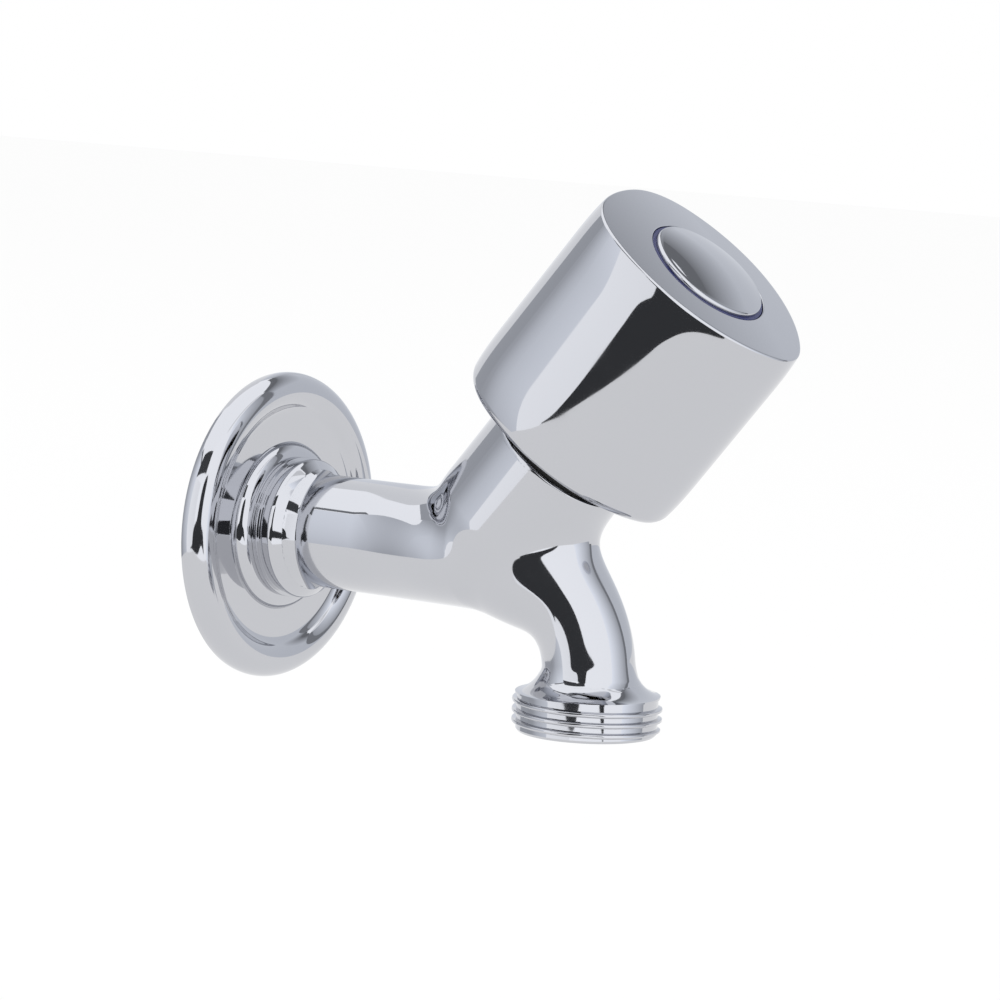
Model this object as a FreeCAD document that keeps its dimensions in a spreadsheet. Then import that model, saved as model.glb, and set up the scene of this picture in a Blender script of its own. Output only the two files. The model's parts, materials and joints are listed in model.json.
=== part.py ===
import FreeCAD, Part
import os

import Sketcher

os.makedirs("parts", exist_ok=True)

# A washing machine tap: a chromed casting that screws into the wall, a turning handle on an inclined
# headwork, and a threaded outlet for the hose.
# The origin is on the inlet axis at the wall face. +Y goes into the wall, the tap stands out along -Y,
# and +Z is up. The headwork axis crosses the inlet axis and leans outwards. Stations on it are counted
# from that crossing, towards the handle.

doc = FreeCAD.newDocument("washing_machine_tap")
sheet = doc.addObject("Spreadsheet::Sheet", "Sizes")

SIZES = {
    # inlet shank and wall collar
    "inlet_thread_radius": 10.4775,
    "inlet_thread_length": 13.0,
    "inlet_thread_start": 0.5,
    "inlet_shank_radius": 9.6,
    "inlet_bore_radius": 5.5,
    "inlet_bore_short": 5.13,
    "collar_back": 4.6,
    "collar_lip_radius": 12.7,
    "collar_lip_width": 1.0,
    "collar_edge_radius": 12.0,
    "collar_width": 3.2,
    "collar_bulge_share": 0.62,
    "collar_sweep": 4.6,
    # horizontal tube
    "tube_radius": 10.2,
    "tube_past_axis": 4.87,
    # spout and hose outlet
    "outlet_past_axis": 22.97,
    "outlet_drop": 29.5,
    "spout_lead": 2.0,
    "spout_fall": 3.3,
    "spout_foot": 21.0,
    "spout_radius_first": 10.6,
    "spout_radius_second": 9.9,
    "spout_radius_third": 8.6,
    "spout_radius_last": 8.2,
    "spout_bore_radius": 5.6,
    "outlet_thread_radius": 13.22,
    "outlet_thread_length": 7.2,
    "outlet_shoulder_radius": 12.6,
    "outlet_chamfer": 0.8,
    "outlet_shoulder_step": 0.35,
    "outlet_flare": 4.3,
    "outlet_flare_share": 1.02,
    "outlet_mouth_radius": 8.4,
    "outlet_mouth_depth": 6.6,
    "outlet_mouth_taper": 2.0,
    # headwork axis and neck
    "axis_tilt": 39.29,
    "axis_reach": 46.13,
    "neck_radius": 13.7,
    "neck_top": 25.0,
    "neck_ball_station": 9.0,
    "neck_fillet": 7.0,
    "neck_edge": 0.5,
    # valve chamber and seat
    "chamber_floor": 2.5,
    "chamber_radius": 9.3,
    "chamber_thread_depth": 10.0,
    "seat_height": 2.0,
    "seat_radius": 7.0,
    "seat_bore_radius": 5.5,
    "seat_well_depth": 3.4,
    # bonnet
    "bonnet_thread_radius": 10.4775,
    "thread_clearance": 0.08,
    "bonnet_bottom": 9.5,
    "bonnet_nose_radius": 9.1,
    "bonnet_thread_relief": 0.5,
    "gasket_thickness": 1.2,
    "gasket_width": 2.2,
    "bonnet_flange_radius": 12.6,
    "bonnet_flange_thickness": 1.8,
    "bonnet_hex_flats": 21.0,
    "bonnet_hex_height": 6.0,
    "bonnet_shank_radius": 8.0,
    "bonnet_top": 42.0,
    "carrier_bore_length": 9.5,
    "carrier_bore_radius": 7.8,
    "hex_bore_flats": 13.2,
    "spindle_shoulder": 32.0,
    # spindle
    "running_clearance": 0.08,
    "seal_clearance": 0.02,
    "spindle_radius": 5.0,
    "spindle_thread_radius": 4.8,
    "spindle_bottom": 17.4,
    "spindle_lead_in": 0.8,
    "spindle_collar_radius": 6.4,
    "spindle_collar_height": 2.0,
    "thrust_washer_thickness": 0.6,
    "spindle_square": 7.0,
    "spindle_square_lead": 0.6,
    "spindle_end_gap": 0.8,
    "spindle_groove_radius": 3.9,
    "spindle_groove_width": 1.5,
    "spindle_screw_hole": 11.0,
    "spindle_groove_lower": 34.2,
    "spindle_groove_upper": 37.8,
    "circlip_groove_radius": 4.3,
    "circlip_thickness": 0.9,
    "circlip_radius": 6.8,
    "circlip_gap": 0.15,
    "circlip_clearance": 0.05,
    "circlip_mouth": 5.0,
    # valve carrier and washer
    "washer_thickness": 4.0,
    "washer_radius": 7.5,
    "carrier_head_radius": 7.7,
    "carrier_head_height": 5.4,
    "carrier_groove_base": 2.4,
    "carrier_groove_width": 2.0,
    "carrier_groove_radius": 6.2,
    "carrier_length": 16.0,
    "carrier_hex_flats": 13.0,
    "carrier_bore_base": 3.6,
    "carrier_peg_radius": 2.0,
    "carrier_peg_length": 8.0,
    "plate_radius": 4.6,
    "plate_thickness": 0.8,
    "nut_flats": 7.0,
    "nut_height": 2.4,
    # handle
    "handle_bottom": 27.0,
    "handle_top": 68.57,
    "handle_crown": 1.0,
    "handle_crown_span": 26.0,
    "handle_turn": 99.6,
    "handle_nose_radius": 10.5,
    "handle_nose_reach": 10.9,
    "handle_cheek_radius": 13.3,
    "handle_cheek_reach": 7.8,
    "handle_cheek_spread": 3.7,
    "handle_side_radius": 25.9,
    "handle_back_radius": 32.0,
    "handle_wall": 2.8,
    "handle_foot_round": 2.5,
    "handle_lip_round": 0.5,
    "recess_depth": 5.0,
    "recess_floor": 2.6,
    "boss_radius": 8.0,
    "boss_bottom": 46.6,
    "rib_thickness": 1.8,
    "rib_drop": 9.0,
    "insert_radius": 5.8,
    "insert_length": 11.2,
    "insert_clearance": 0.05,
    "screw_hole_radius": 2.9,
    # what closes the handle
    "screw_radius": 2.5,
    "screw_length": 16.0,
    "screw_head_radius": 4.4,
    "screw_head_height": 2.6,
    "screw_head_side_share": 0.6,
    "screw_head_face_share": 0.7,
    "screw_washer_radius": 5.2,
    "screw_washer_thickness": 0.7,
    "index_ring_radius": 11.5,
    "index_ring_width": 1.0,
    "index_ring_sink": 0.35,
    "button_clearance": 0.1,
    "button_crown": 1.4,
    "button_bevel": 0.5,
    "button_wall": 1.2,
    # wall flange
    "flange_radius": 27.8,
    "flange_bead_radius": 3.4,
    "flange_bead_centre": 1.1,
    "flange_dish": 2.6,
    "flange_hub_radius": 16.9,
    "flange_hub_top_radius": 13.9,
    "flange_hub_share": 2.2,
    "flange_sheet": 0.9,
    "flange_hole_clearance": 0.35,
    # how far a cutting shape runs past what it cuts
    "cut_margin": 1.0,
}

for row, (alias, number) in enumerate(SIZES.items(), start=1):
    sheet.set("A%d" % row, alias)
    sheet.set("B%d" % row, repr(number))
    sheet.setAlias("B%d" % row, alias)
doc.recompute()


def size(name):
    """The cell of one driving dimension, as an expression."""
    return "Sizes." + name


def plus(*terms):
    """The sum of sizes and expressions."""
    return "(" + " + ".join(str(term) for term in terms) + ")"


def minus(first, *terms):
    """The first term less all the others."""
    return "(" + " - ".join([str(first)] + [str(term) for term in terms]) + ")"


def times(name, share):
    """One size as a share of another."""
    return "(%s * %s)" % (size(name), size(share))


def half(name):
    """Half of a size."""
    return "(%s / 2)" % size(name)


def tangent_radius(run, rise):
    """The radius of an arc that leaves a line smoothly and rises so much over so long a run."""
    return "((%s^2 + %s^2) / (2 * %s))" % (run, rise, rise)


def value(expression):
    """What an expression is worth with the sizes as they are."""
    return float(sheet.evalExpression(str(expression)))


def turning(x, y, z):
    """A rotation about an axis, whose angle an expression sets later; at no angle it would lose its axis."""
    return FreeCAD.Rotation(FreeCAD.Vector(x, y, z), 30)


def new_body(name):
    """An empty piece whose label is its node's name."""
    body = doc.addObject("PartDesign::Body", name)
    body.Label = name
    return body


def on_headwork(body):
    """Stand a piece on the headwork axis, its own Z along that axis."""
    body.Placement = FreeCAD.Placement(FreeCAD.Vector(0, 0, 0), turning(1, 0, 0))
    body.setExpression("Placement.Base.y", "-" + size("axis_reach"))
    body.setExpression("Placement.Rotation.Angle", size("axis_tilt"))


def new_sketch(body, name, role):
    """A sketch on one of the body's own origin planes."""
    sketch = body.newObject("Sketcher::SketchObject", name)
    plane = [feature for feature in body.Origin.OriginFeatures if feature.Role == role][0]
    sketch.AttachmentSupport = [(plane, "")]
    sketch.MapMode = "FlatFace"
    return sketch


def bind(sketch, kind, places, expression):
    """One dimension of a sketch, tied to the sizes."""
    number = value(expression)
    index = sketch.addConstraint(Sketcher.Constraint(kind, *places, number))
    sketch.setExpression("Constraints[%d]" % index, str(expression))


def arc_between(first, last, radius, side):
    """The arc of a radius from one point to the next; side +1 bulges to the left of the way."""
    chord = last - first
    middle = (first + last) * 0.5
    left = FreeCAD.Vector(-chord.y, chord.x, 0).normalize()
    height = (radius * radius - (chord.Length / 2) ** 2) ** 0.5
    centre = middle - left * side * height
    top = centre + left * side * radius
    return Part.Arc(first, top, last)


def outline(sketch, points):
    """A closed outline. A point is (x, y), or (x, y, radius, side) where an arc starts at it."""
    corners = [FreeCAD.Vector(value(point[0]), value(point[1]), 0) for point in points]
    count = len(points)
    ends = []
    for i, point in enumerate(points):
        first = corners[i]
        last = corners[(i + 1) % count]
        if len(point) == 4:
            arc = arc_between(first, last, value(point[2]), point[3])
            geo = sketch.addGeometry(arc, False)
            starts_here = sketch.getPoint(geo, 1).distanceToPoint(first) < 1e-4
            ends.append((geo, 1, 2) if starts_here else (geo, 2, 1))
            bind(sketch, "Radius", (geo,), point[2])
        else:
            geo = sketch.addGeometry(Part.LineSegment(first, last), False)
            ends.append((geo, 1, 2))
    for i, point in enumerate(points):
        geo, start, _ = ends[i]
        before, _, finish = ends[i - 1]
        sketch.addConstraint(Sketcher.Constraint("Coincident", before, finish, geo, start))
        for kind, number, axis in (("DistanceX", point[0], -2), ("DistanceY", point[1], -1)):
            if abs(value(number)) < 1e-9:
                sketch.addConstraint(Sketcher.Constraint("PointOnObject", geo, start, axis))
            else:
                bind(sketch, kind, (-1, 1, geo, start), number)


def turned(body, name, points, kind="PartDesign::Revolution"):
    """A revolved profile about the piece's own Z; points are (radius, height)."""
    sketch = new_sketch(body, name + "_profile", "XZ_Plane")
    outline(sketch, points)
    feature = body.newObject(kind, name)
    feature.Profile = sketch
    feature.ReferenceAxis = (sketch, ["V_Axis"])
    feature.Angle = 360
    return feature


def casting_turned(body, name, points, place, kind="PartDesign::Revolution"):
    """A revolved profile in the tap's middle plane, about one of its three axes."""
    sketch = new_sketch(body, name + "_profile", "YZ_Plane")
    axis = "V_Axis"
    if place == "inlet":
        axis = "H_Axis"
    elif place == "outlet":
        sketch.setExpression("AttachmentOffset.Base.x", "-" + OUTLET_REACH)
    else:
        sketch.AttachmentOffset = FreeCAD.Placement(FreeCAD.Vector(0, 0, 0), turning(0, 0, 1))
        sketch.setExpression("AttachmentOffset.Base.x", "-" + size("axis_reach"))
        sketch.setExpression("AttachmentOffset.Rotation.Angle", size("axis_tilt"))
    outline(sketch, points)
    feature = body.newObject(kind, name)
    feature.Profile = sketch
    feature.ReferenceAxis = (sketch, [axis])
    feature.Angle = 360
    return feature


def ring(body, name, inner, outer, low, high):
    """A plain washer between two stations."""
    return turned(body, name, [(inner, low), (outer, low), (outer, high), (inner, high)])


def circle(sketch, radius, guide=False):
    """A circle about the sketch's origin."""
    shape = Part.Circle(FreeCAD.Vector(0, 0, 0), FreeCAD.Vector(0, 0, 1), value(radius))
    geo = sketch.addGeometry(shape, guide)
    sketch.addConstraint(Sketcher.Constraint("Coincident", geo, 3, -1, 1))
    bind(sketch, "Radius", (geo,), radius)
    return geo


def hexagon(sketch, flats):
    """A regular hexagon about the sketch's origin, by its width across flats."""
    radius = value(flats) / 3 ** 0.5
    corners = [FreeCAD.Vector(radius, 0, 0)]
    for i in range(1, 6):
        turn = FreeCAD.Rotation(FreeCAD.Vector(0, 0, 1), 60 * i)
        corners.append(turn.multVec(corners[0]))
    guide = circle(sketch, "(%s / sqrt(3))" % flats, True)
    sides = []
    for i in range(6):
        sides.append(sketch.addGeometry(Part.LineSegment(corners[i], corners[(i + 1) % 6]), False))
    for i, side in enumerate(sides):
        sketch.addConstraint(Sketcher.Constraint("Coincident", side, 2, sides[(i + 1) % 6], 1))
        sketch.addConstraint(Sketcher.Constraint("PointOnObject", side, 1, guide))
        if i:
            sketch.addConstraint(Sketcher.Constraint("Equal", sides[0], side))
    sketch.addConstraint(Sketcher.Constraint("PointOnObject", sides[0], 1, -1))


def prism(body, name, shape, low, high, kind="PartDesign::Pad"):
    """A straight piece or pocket along the piece's own Z, from one station to another."""
    sketch = new_sketch(body, name + "_profile", "XY_Plane")
    sketch.setExpression("AttachmentOffset.Base.z", str(low))
    shape(sketch)
    feature = body.newObject(kind, name)
    feature.Profile = sketch
    feature.Type = "Length"
    feature.setExpression("Length", minus(high, low))
    if kind == "PartDesign::Pocket":
        feature.Reversed = True
    return feature


def round_edges(body, name, radius, wanted, kind="PartDesign::Fillet"):
    """Round or chamfer the edges of the solid so far that the test picks."""
    doc.recompute()
    base = body.Tip
    names = ["Edge%d" % i for i, edge in enumerate(base.Shape.Edges, start=1) if wanted(edge)]
    feature = body.newObject(kind, name)
    feature.Base = (base, names)
    if kind == "PartDesign::Chamfer":
        feature.setExpression("Size", radius)
    else:
        feature.setExpression("Radius", radius)
    return feature


# Stations along the headwork, from the seat to the top of the handle
SEAT_TOP = plus(size("chamber_floor"), size("seat_height"))
CARRIER_BOTTOM = plus(SEAT_TOP, size("washer_thickness"))
CARRIER_TOP = plus(CARRIER_BOTTOM, size("carrier_length"))
GASKET_TOP = plus(size("neck_top"), size("gasket_thickness"))
HEX_BOTTOM = plus(GASKET_TOP, size("bonnet_flange_thickness"))
HEX_TOP = plus(HEX_BOTTOM, size("bonnet_hex_height"))
HEX_BORE_BOTTOM = plus(size("bonnet_bottom"), size("carrier_bore_length"))
COLLAR_TOP = minus(size("spindle_shoulder"), size("thrust_washer_thickness"))
COLLAR_BOTTOM = minus(COLLAR_TOP, size("spindle_collar_height"))
CIRCLIP_BOTTOM = plus(size("bonnet_top"), size("circlip_gap"))
CIRCLIP_TOP = plus(CIRCLIP_BOTTOM, size("circlip_thickness"))
RECESS_BOTTOM = minus(size("handle_top"), size("recess_depth"))
CAVITY_TOP = minus(RECESS_BOTTOM, size("recess_floor"))
SCREW_SEAT = plus(RECESS_BOTTOM, size("screw_washer_thickness"))
INSERT_TOP = plus(size("boss_bottom"), size("insert_length"))
SQUARE_BOTTOM = minus(size("boss_bottom"), size("spindle_square_lead"))
SPINDLE_TOP = minus(INSERT_TOP, size("spindle_end_gap"))

# Reaches from the wall, beyond or short of the headwork's crossing
TUBE_END = plus(size("axis_reach"), size("tube_past_axis"))
OUTLET_REACH = plus(size("axis_reach"), size("outlet_past_axis"))
INLET_BORE_END = minus(size("axis_reach"), size("inlet_bore_short"))


# The casting: inlet shank, collar, tube, neck, spout and threaded outlet in one piece

casting = new_body("tap_body")

lip_end = plus(size("collar_back"), size("collar_lip_width"))
ring_end = plus(lip_end, size("collar_width"))
sweep_end = plus(ring_end, size("collar_sweep"))
collar_step = minus(size("collar_edge_radius"), size("tube_radius"))
casting_turned(casting, "inlet_tube", [
    (size("inlet_thread_length"), "0"),
    (size("inlet_thread_length"), size("inlet_thread_radius")),
    ("-" + size("inlet_thread_start"), size("inlet_thread_radius")),
    ("-" + size("inlet_thread_start"), size("inlet_shank_radius")),
    ("-" + size("collar_back"), size("inlet_shank_radius")),
    ("-" + size("collar_back"), size("collar_lip_radius")),
    ("-" + lip_end, size("collar_lip_radius")),
    ("-" + lip_end, size("collar_edge_radius"), times("collar_width", "collar_bulge_share"), -1),
    ("-" + ring_end, size("collar_edge_radius"), tangent_radius(size("collar_sweep"), collar_step), 1),
    ("-" + sweep_end, size("tube_radius")),
    ("-" + TUBE_END, size("tube_radius")),
    ("-" + TUBE_END, "0"),
], "inlet")

spout_line = [
    ("-" + TUBE_END, "0"),
    ("-" + plus(TUBE_END, size("spout_lead")), "0"),
    ("-" + OUTLET_REACH, "-" + size("spout_fall")),
    ("-" + OUTLET_REACH, "-" + size("spout_foot")),
]


def along_spout(share):
    """The place on the spout's line at a share of its length, and how far it has turned down."""
    rest = 1 - share
    weights = (rest ** 3, 3 * share * rest ** 2, 3 * share ** 2 * rest, share ** 3)
    place = [" + ".join("%.6f * (%s)" % (w, p[i]) for w, p in zip(weights, spout_line)) for i in (0, 1)]
    slopes = (rest ** 2, 2 * share * rest, share ** 2)
    run = [" + ".join("%.6f * (%s - %s)" % (w, b[i], a[i])
                      for w, a, b in zip(slopes, spout_line, spout_line[1:])) for i in (0, 1)]
    return place[0], place[1], "atan2(-(%s); -(%s))" % (run[0], run[1])


def spout_loft(name, stations, kind):
    """Round sections square to the spout's line, joined into one smooth form."""
    sections = []
    for i, (share, radius) in enumerate(stations):
        y, z, turn = along_spout(share)
        sketch = new_sketch(casting, "%s_section_%d" % (name, i), "XY_Plane")
        sketch.AttachmentOffset = FreeCAD.Placement(FreeCAD.Vector(0, 0, 0), turning(1, 0, 0))
        sketch.setExpression("AttachmentOffset.Base.y", y)
        sketch.setExpression("AttachmentOffset.Base.z", z)
        sketch.setExpression("AttachmentOffset.Rotation.Angle", "-(%s)" % turn)
        circle(sketch, radius)
        sections.append(sketch)
    feature = casting.newObject(kind, name)
    feature.Profile = sections[0]
    feature.Sections = sections[1:]
    return feature


spout_loft("spout", [
    (0.0, size("tube_radius")),
    (0.32, size("spout_radius_first")),
    (0.52, size("spout_radius_second")),
    (0.7, size("spout_radius_third")),
    (0.85, size("spout_radius_last")),
    (1.0, size("spout_radius_last")),
], "PartDesign::AdditiveLoft")

outlet_bottom = "-" + size("outlet_drop")
thread_top = "(%s - %s)" % (size("outlet_thread_length"), size("outlet_drop"))
flare_top = plus(thread_top, size("outlet_flare"))
casting_turned(casting, "hose_outlet", [
    ("0", outlet_bottom),
    (minus(size("outlet_thread_radius"), size("outlet_chamfer")), outlet_bottom),
    (size("outlet_thread_radius"), plus(outlet_bottom, size("outlet_chamfer"))),
    (size("outlet_thread_radius"), thread_top),
    (size("outlet_shoulder_radius"), plus(thread_top, size("outlet_shoulder_step")),
     times("outlet_flare", "outlet_flare_share"), 1),
    (size("spout_radius_last"), flare_top),
    ("0", flare_top),
], "outlet")

ball = size("neck_ball_station")
casting_turned(casting, "neck", [
    ("0", minus(ball, size("neck_radius")), size("neck_radius"), -1),
    (size("neck_radius"), ball),
    (size("neck_radius"), size("neck_top")),
    ("0", size("neck_top")),
], "headwork")
seam_tolerance = 0.02


def from_headwork(point):
    """How far a point of the casting is from the headwork axis, and its station on it."""
    tilt = value("sin(%s)" % size("axis_tilt")), value("cos(%s)" % size("axis_tilt"))
    along = FreeCAD.Vector(0, -tilt[0], tilt[1])
    away = point - FreeCAD.Vector(0, -value(size("axis_reach")), 0)
    station = away.dot(along)
    return (away - along * station).Length, station


def on_neck(edge):
    """Whether an edge is the seam where the neck or its rounded end meets the tube or the spout."""
    if type(edge.Curve).__name__ in ("Circle", "Line"):
        return False
    for point in edge.discretize(5):
        distance, station = from_headwork(point)
        below = min(0, station - value(ball))
        if abs((distance ** 2 + below ** 2) ** 0.5 - value(size("neck_radius"))) > seam_tolerance:
            return False
    return True


def on_neck_rim(edge):
    """Whether an edge is the outer edge of the neck's top."""
    places = [from_headwork(end.Point) for end in edge.Vertexes]
    rim = value(size("neck_radius")), value(size("neck_top"))
    return all(abs(place[0] - rim[0]) + abs(place[1] - rim[1]) < seam_tolerance for place in places)


round_edges(casting, "neck_blend", size("neck_fillet"), on_neck)
round_edges(casting, "neck_rim", size("neck_edge"), on_neck_rim)

# Waterways: inlet bore, well below the seat, chamber round the seat, spout bore and hose mouth

casting_turned(casting, "inlet_bore", [
    (size("inlet_thread_length"), "0"),
    (size("inlet_thread_length"), size("inlet_bore_radius")),
    ("-" + INLET_BORE_END, size("inlet_bore_radius")),
    ("-" + INLET_BORE_END, "0"),
], "inlet", "PartDesign::Groove")

well_centre = "(-%s)" % size("seat_well_depth")
casting_turned(casting, "seat_well", [
    ("0", minus(well_centre, size("seat_bore_radius")), size("seat_bore_radius"), -1),
    (size("seat_bore_radius"), well_centre),
    (size("seat_bore_radius"), SEAT_TOP),
    ("0", SEAT_TOP),
], "headwork", "PartDesign::Groove")

neck_thread_radius = plus(size("bonnet_thread_radius"), size("thread_clearance"))
neck_thread_end = minus(size("neck_top"), size("chamber_thread_depth"))
casting_turned(casting, "valve_chamber", [
    ("0", SEAT_TOP),
    (size("seat_radius"), SEAT_TOP),
    (size("seat_radius"), size("chamber_floor")),
    (size("chamber_radius"), size("chamber_floor")),
    (size("chamber_radius"), neck_thread_end),
    (neck_thread_radius, neck_thread_end),
    (neck_thread_radius, size("neck_top")),
    ("0", size("neck_top")),
], "headwork", "PartDesign::Groove")

spout_loft("spout_bore", [(share, size("spout_bore_radius")) for share in (0.16, 0.4, 0.6, 0.8, 1.0)],
           "PartDesign::SubtractiveLoft")

mouth_top = plus(outlet_bottom, size("outlet_mouth_depth"))
casting_turned(casting, "hose_mouth", [
    ("0", outlet_bottom),
    (size("outlet_mouth_radius"), outlet_bottom),
    (size("outlet_mouth_radius"), mouth_top),
    (size("spout_bore_radius"), plus(mouth_top, size("outlet_mouth_taper"))),
    ("0", plus(mouth_top, size("outlet_mouth_taper"))),
], "outlet", "PartDesign::Groove")


# The wall flange: a pressed sheet with a rolled rim and a raised hub, hollow behind

wall_flange = new_body("wall_flange")
bead = size("flange_bead_radius")
bead_centre = size("flange_bead_centre")
bead_reach = minus(size("flange_radius"), bead)
sheet_thickness = size("flange_sheet")
inner_bead = minus(bead, sheet_thickness)
dish = size("flange_dish")
hub_face = size("collar_back")
hole = plus(size("inlet_thread_radius"), size("flange_hole_clearance"))


def chord(radius, height):
    """Half the width of a circle at a height from its centre."""
    return "sqrt((%s)^2 - (%s)^2)" % (radius, height)


inside_dish = minus(dish, sheet_thickness)
inside_hub = minus(hub_face, sheet_thickness)
hub_sweep = "(%s * %s)" % (minus(hub_face, dish), size("flange_hub_share"))
inside_rim = minus(bead_reach, chord(inner_bead, minus(inside_dish, bead_centre)))
casting_turned(wall_flange, "pressing", [
    ("0", plus(bead_reach, chord(bead, bead_centre)), bead, -1),
    ("-" + dish, minus(bead_reach, chord(bead, minus(dish, bead_centre)))),
    ("-" + dish, size("flange_hub_radius"), hub_sweep, 1),
    ("-" + hub_face, size("flange_hub_top_radius")),
    ("-" + hub_face, hole),
    ("-" + inside_hub, hole),
    ("-" + inside_hub, minus(size("flange_hub_top_radius"), sheet_thickness)),
    ("-" + inside_dish, minus(size("flange_hub_radius"), sheet_thickness)),
    ("-" + inside_dish, inside_rim, inner_bead, 1),
    ("0", plus(bead_reach, chord(inner_bead, bead_centre))),
], "inlet")


# The headwork: bonnet and gasket, which stay with the casting

bonnet = new_body("bonnet")
on_headwork(bonnet)
spindle_bore = plus(size("spindle_radius"), size("running_clearance"))
hex_bore_radius = "(%s / 2)" % size("hex_bore_flats")
nose_end = plus(neck_thread_end, size("bonnet_thread_relief"))
turned(bonnet, "turned_body", [
    (size("carrier_bore_radius"), size("bonnet_bottom")),
    (size("bonnet_nose_radius"), size("bonnet_bottom")),
    (size("bonnet_nose_radius"), nose_end),
    (size("bonnet_thread_radius"), nose_end),
    (size("bonnet_thread_radius"), GASKET_TOP),
    (size("bonnet_flange_radius"), GASKET_TOP),
    (size("bonnet_flange_radius"), HEX_BOTTOM),
    (size("bonnet_shank_radius"), HEX_BOTTOM),
    (size("bonnet_shank_radius"), size("bonnet_top")),
    (spindle_bore, size("bonnet_top")),
    (spindle_bore, size("spindle_shoulder")),
    (hex_bore_radius, size("spindle_shoulder")),
    (hex_bore_radius, HEX_BORE_BOTTOM),
    (size("carrier_bore_radius"), HEX_BORE_BOTTOM),
])


def spanner_hexagon(sketch):
    """The bonnet's hexagon, open for its bore."""
    hexagon(sketch, size("bonnet_hex_flats"))
    circle(sketch, size("carrier_bore_radius"))


prism(bonnet, "spanner_hexagon", spanner_hexagon, HEX_BOTTOM, HEX_TOP)
prism(bonnet, "carrier_guide", lambda sketch: hexagon(sketch, size("hex_bore_flats")),
      HEX_BORE_BOTTOM, COLLAR_BOTTOM, "PartDesign::Pocket")

bonnet_gasket = new_body("bonnet_gasket")
on_headwork(bonnet_gasket)
ring(bonnet_gasket, "gasket", neck_thread_radius, plus(neck_thread_radius, size("gasket_width")),
     size("neck_top"), GASKET_TOP)

thrust_washer = new_body("thrust_washer")
on_headwork(thrust_washer)
ring(thrust_washer, "washer", spindle_bore, size("spindle_collar_radius"), COLLAR_TOP,
     size("spindle_shoulder"))


# The spindle with its seals and circlip

spindle = new_body("spindle")
on_headwork(spindle)
groove_lower_top = plus(size("spindle_groove_lower"), size("spindle_groove_width"))
groove_upper_top = plus(size("spindle_groove_upper"), size("spindle_groove_width"))
lead_in = size("spindle_lead_in")
turned(spindle, "turned_spindle", [
    ("0", size("spindle_bottom")),
    (minus(size("spindle_thread_radius"), lead_in), size("spindle_bottom")),
    (size("spindle_thread_radius"), plus(size("spindle_bottom"), lead_in)),
    (size("spindle_thread_radius"), COLLAR_BOTTOM),
    (size("spindle_collar_radius"), COLLAR_BOTTOM),
    (size("spindle_collar_radius"), COLLAR_TOP),
    (size("spindle_radius"), COLLAR_TOP),
    (size("spindle_radius"), size("spindle_groove_lower")),
    (size("spindle_groove_radius"), size("spindle_groove_lower")),
    (size("spindle_groove_radius"), groove_lower_top),
    (size("spindle_radius"), groove_lower_top),
    (size("spindle_radius"), size("spindle_groove_upper")),
    (size("spindle_groove_radius"), size("spindle_groove_upper")),
    (size("spindle_groove_radius"), groove_upper_top),
    (size("spindle_radius"), groove_upper_top),
    (size("spindle_radius"), CIRCLIP_BOTTOM),
    (size("circlip_groove_radius"), CIRCLIP_BOTTOM),
    (size("circlip_groove_radius"), CIRCLIP_TOP),
    (size("spindle_radius"), CIRCLIP_TOP),
    (size("spindle_radius"), SQUARE_BOTTOM),
    ("0", SQUARE_BOTTOM),
])


def rectangle(sketch, left, bottom, right, top):
    """A rectangle by the places of its four sides."""
    outline(sketch, [(left, bottom), (right, bottom), (right, top), (left, top)])


def square(sketch, flats):
    """A square about the sketch's origin."""
    side = "(%s / 2)" % flats
    rectangle(sketch, "-" + side, "-" + side, side, side)


prism(spindle, "drive_square", lambda sketch: square(sketch, size("spindle_square")),
      SQUARE_BOTTOM, SPINDLE_TOP)
screw_hole_end = minus(SPINDLE_TOP, size("spindle_screw_hole"))
screw_hole = plus(size("screw_radius"), size("thread_clearance"))
turned(spindle, "screw_hole", [
    ("0", screw_hole_end),
    (screw_hole, screw_hole_end),
    (screw_hole, SPINDLE_TOP),
    ("0", SPINDLE_TOP),
], "PartDesign::Groove")


def o_ring(name, inner, outer, station):
    """A seal of round section in the groove between an inner and an outer radius."""
    body = new_body(name)
    on_headwork(body)
    sketch = new_sketch(body, name + "_profile", "XZ_Plane")
    middle = "((%s + %s) / 2)" % (inner, outer)
    section = "((%s - %s) / 2 - %s)" % (outer, inner, size("seal_clearance"))
    centre = FreeCAD.Vector(value(middle), value(station), 0)
    geo = sketch.addGeometry(Part.Circle(centre, FreeCAD.Vector(0, 0, 1), value(section)), False)
    bind(sketch, "Radius", (geo,), section)
    bind(sketch, "DistanceX", (-1, 1, geo, 3), middle)
    bind(sketch, "DistanceY", (-1, 1, geo, 3), station)
    feature = body.newObject("PartDesign::Revolution", name + "_ring")
    feature.Profile = sketch
    feature.ReferenceAxis = (sketch, ["V_Axis"])
    feature.Angle = 360


half_groove = half("spindle_groove_width")
for name, groove in (("spindle_o_ring_lower", "spindle_groove_lower"),
                     ("spindle_o_ring_upper", "spindle_groove_upper")):
    o_ring(name, size("spindle_groove_radius"), spindle_bore, plus(size(groove), half_groove))

circlip = new_body("spindle_circlip")
on_headwork(circlip)
clip_inner = plus(size("circlip_groove_radius"), size("circlip_clearance"))
clip_low = plus(CIRCLIP_BOTTOM, size("circlip_clearance"))
clip_high = minus(CIRCLIP_TOP, size("circlip_clearance"))
ring(circlip, "clip", clip_inner, size("circlip_radius"), clip_low, clip_high)
half_mouth = half("circlip_mouth")
past_clip = plus(size("circlip_radius"), size("cut_margin"))
prism(circlip, "clip_mouth",
      lambda sketch: rectangle(sketch, "0", "-" + half_mouth, past_clip, half_mouth),
      clip_low, clip_high, "PartDesign::Pocket")


# The valve carrier: it cannot turn in the bonnet's hexagon, so the spindle's thread lifts it

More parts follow.
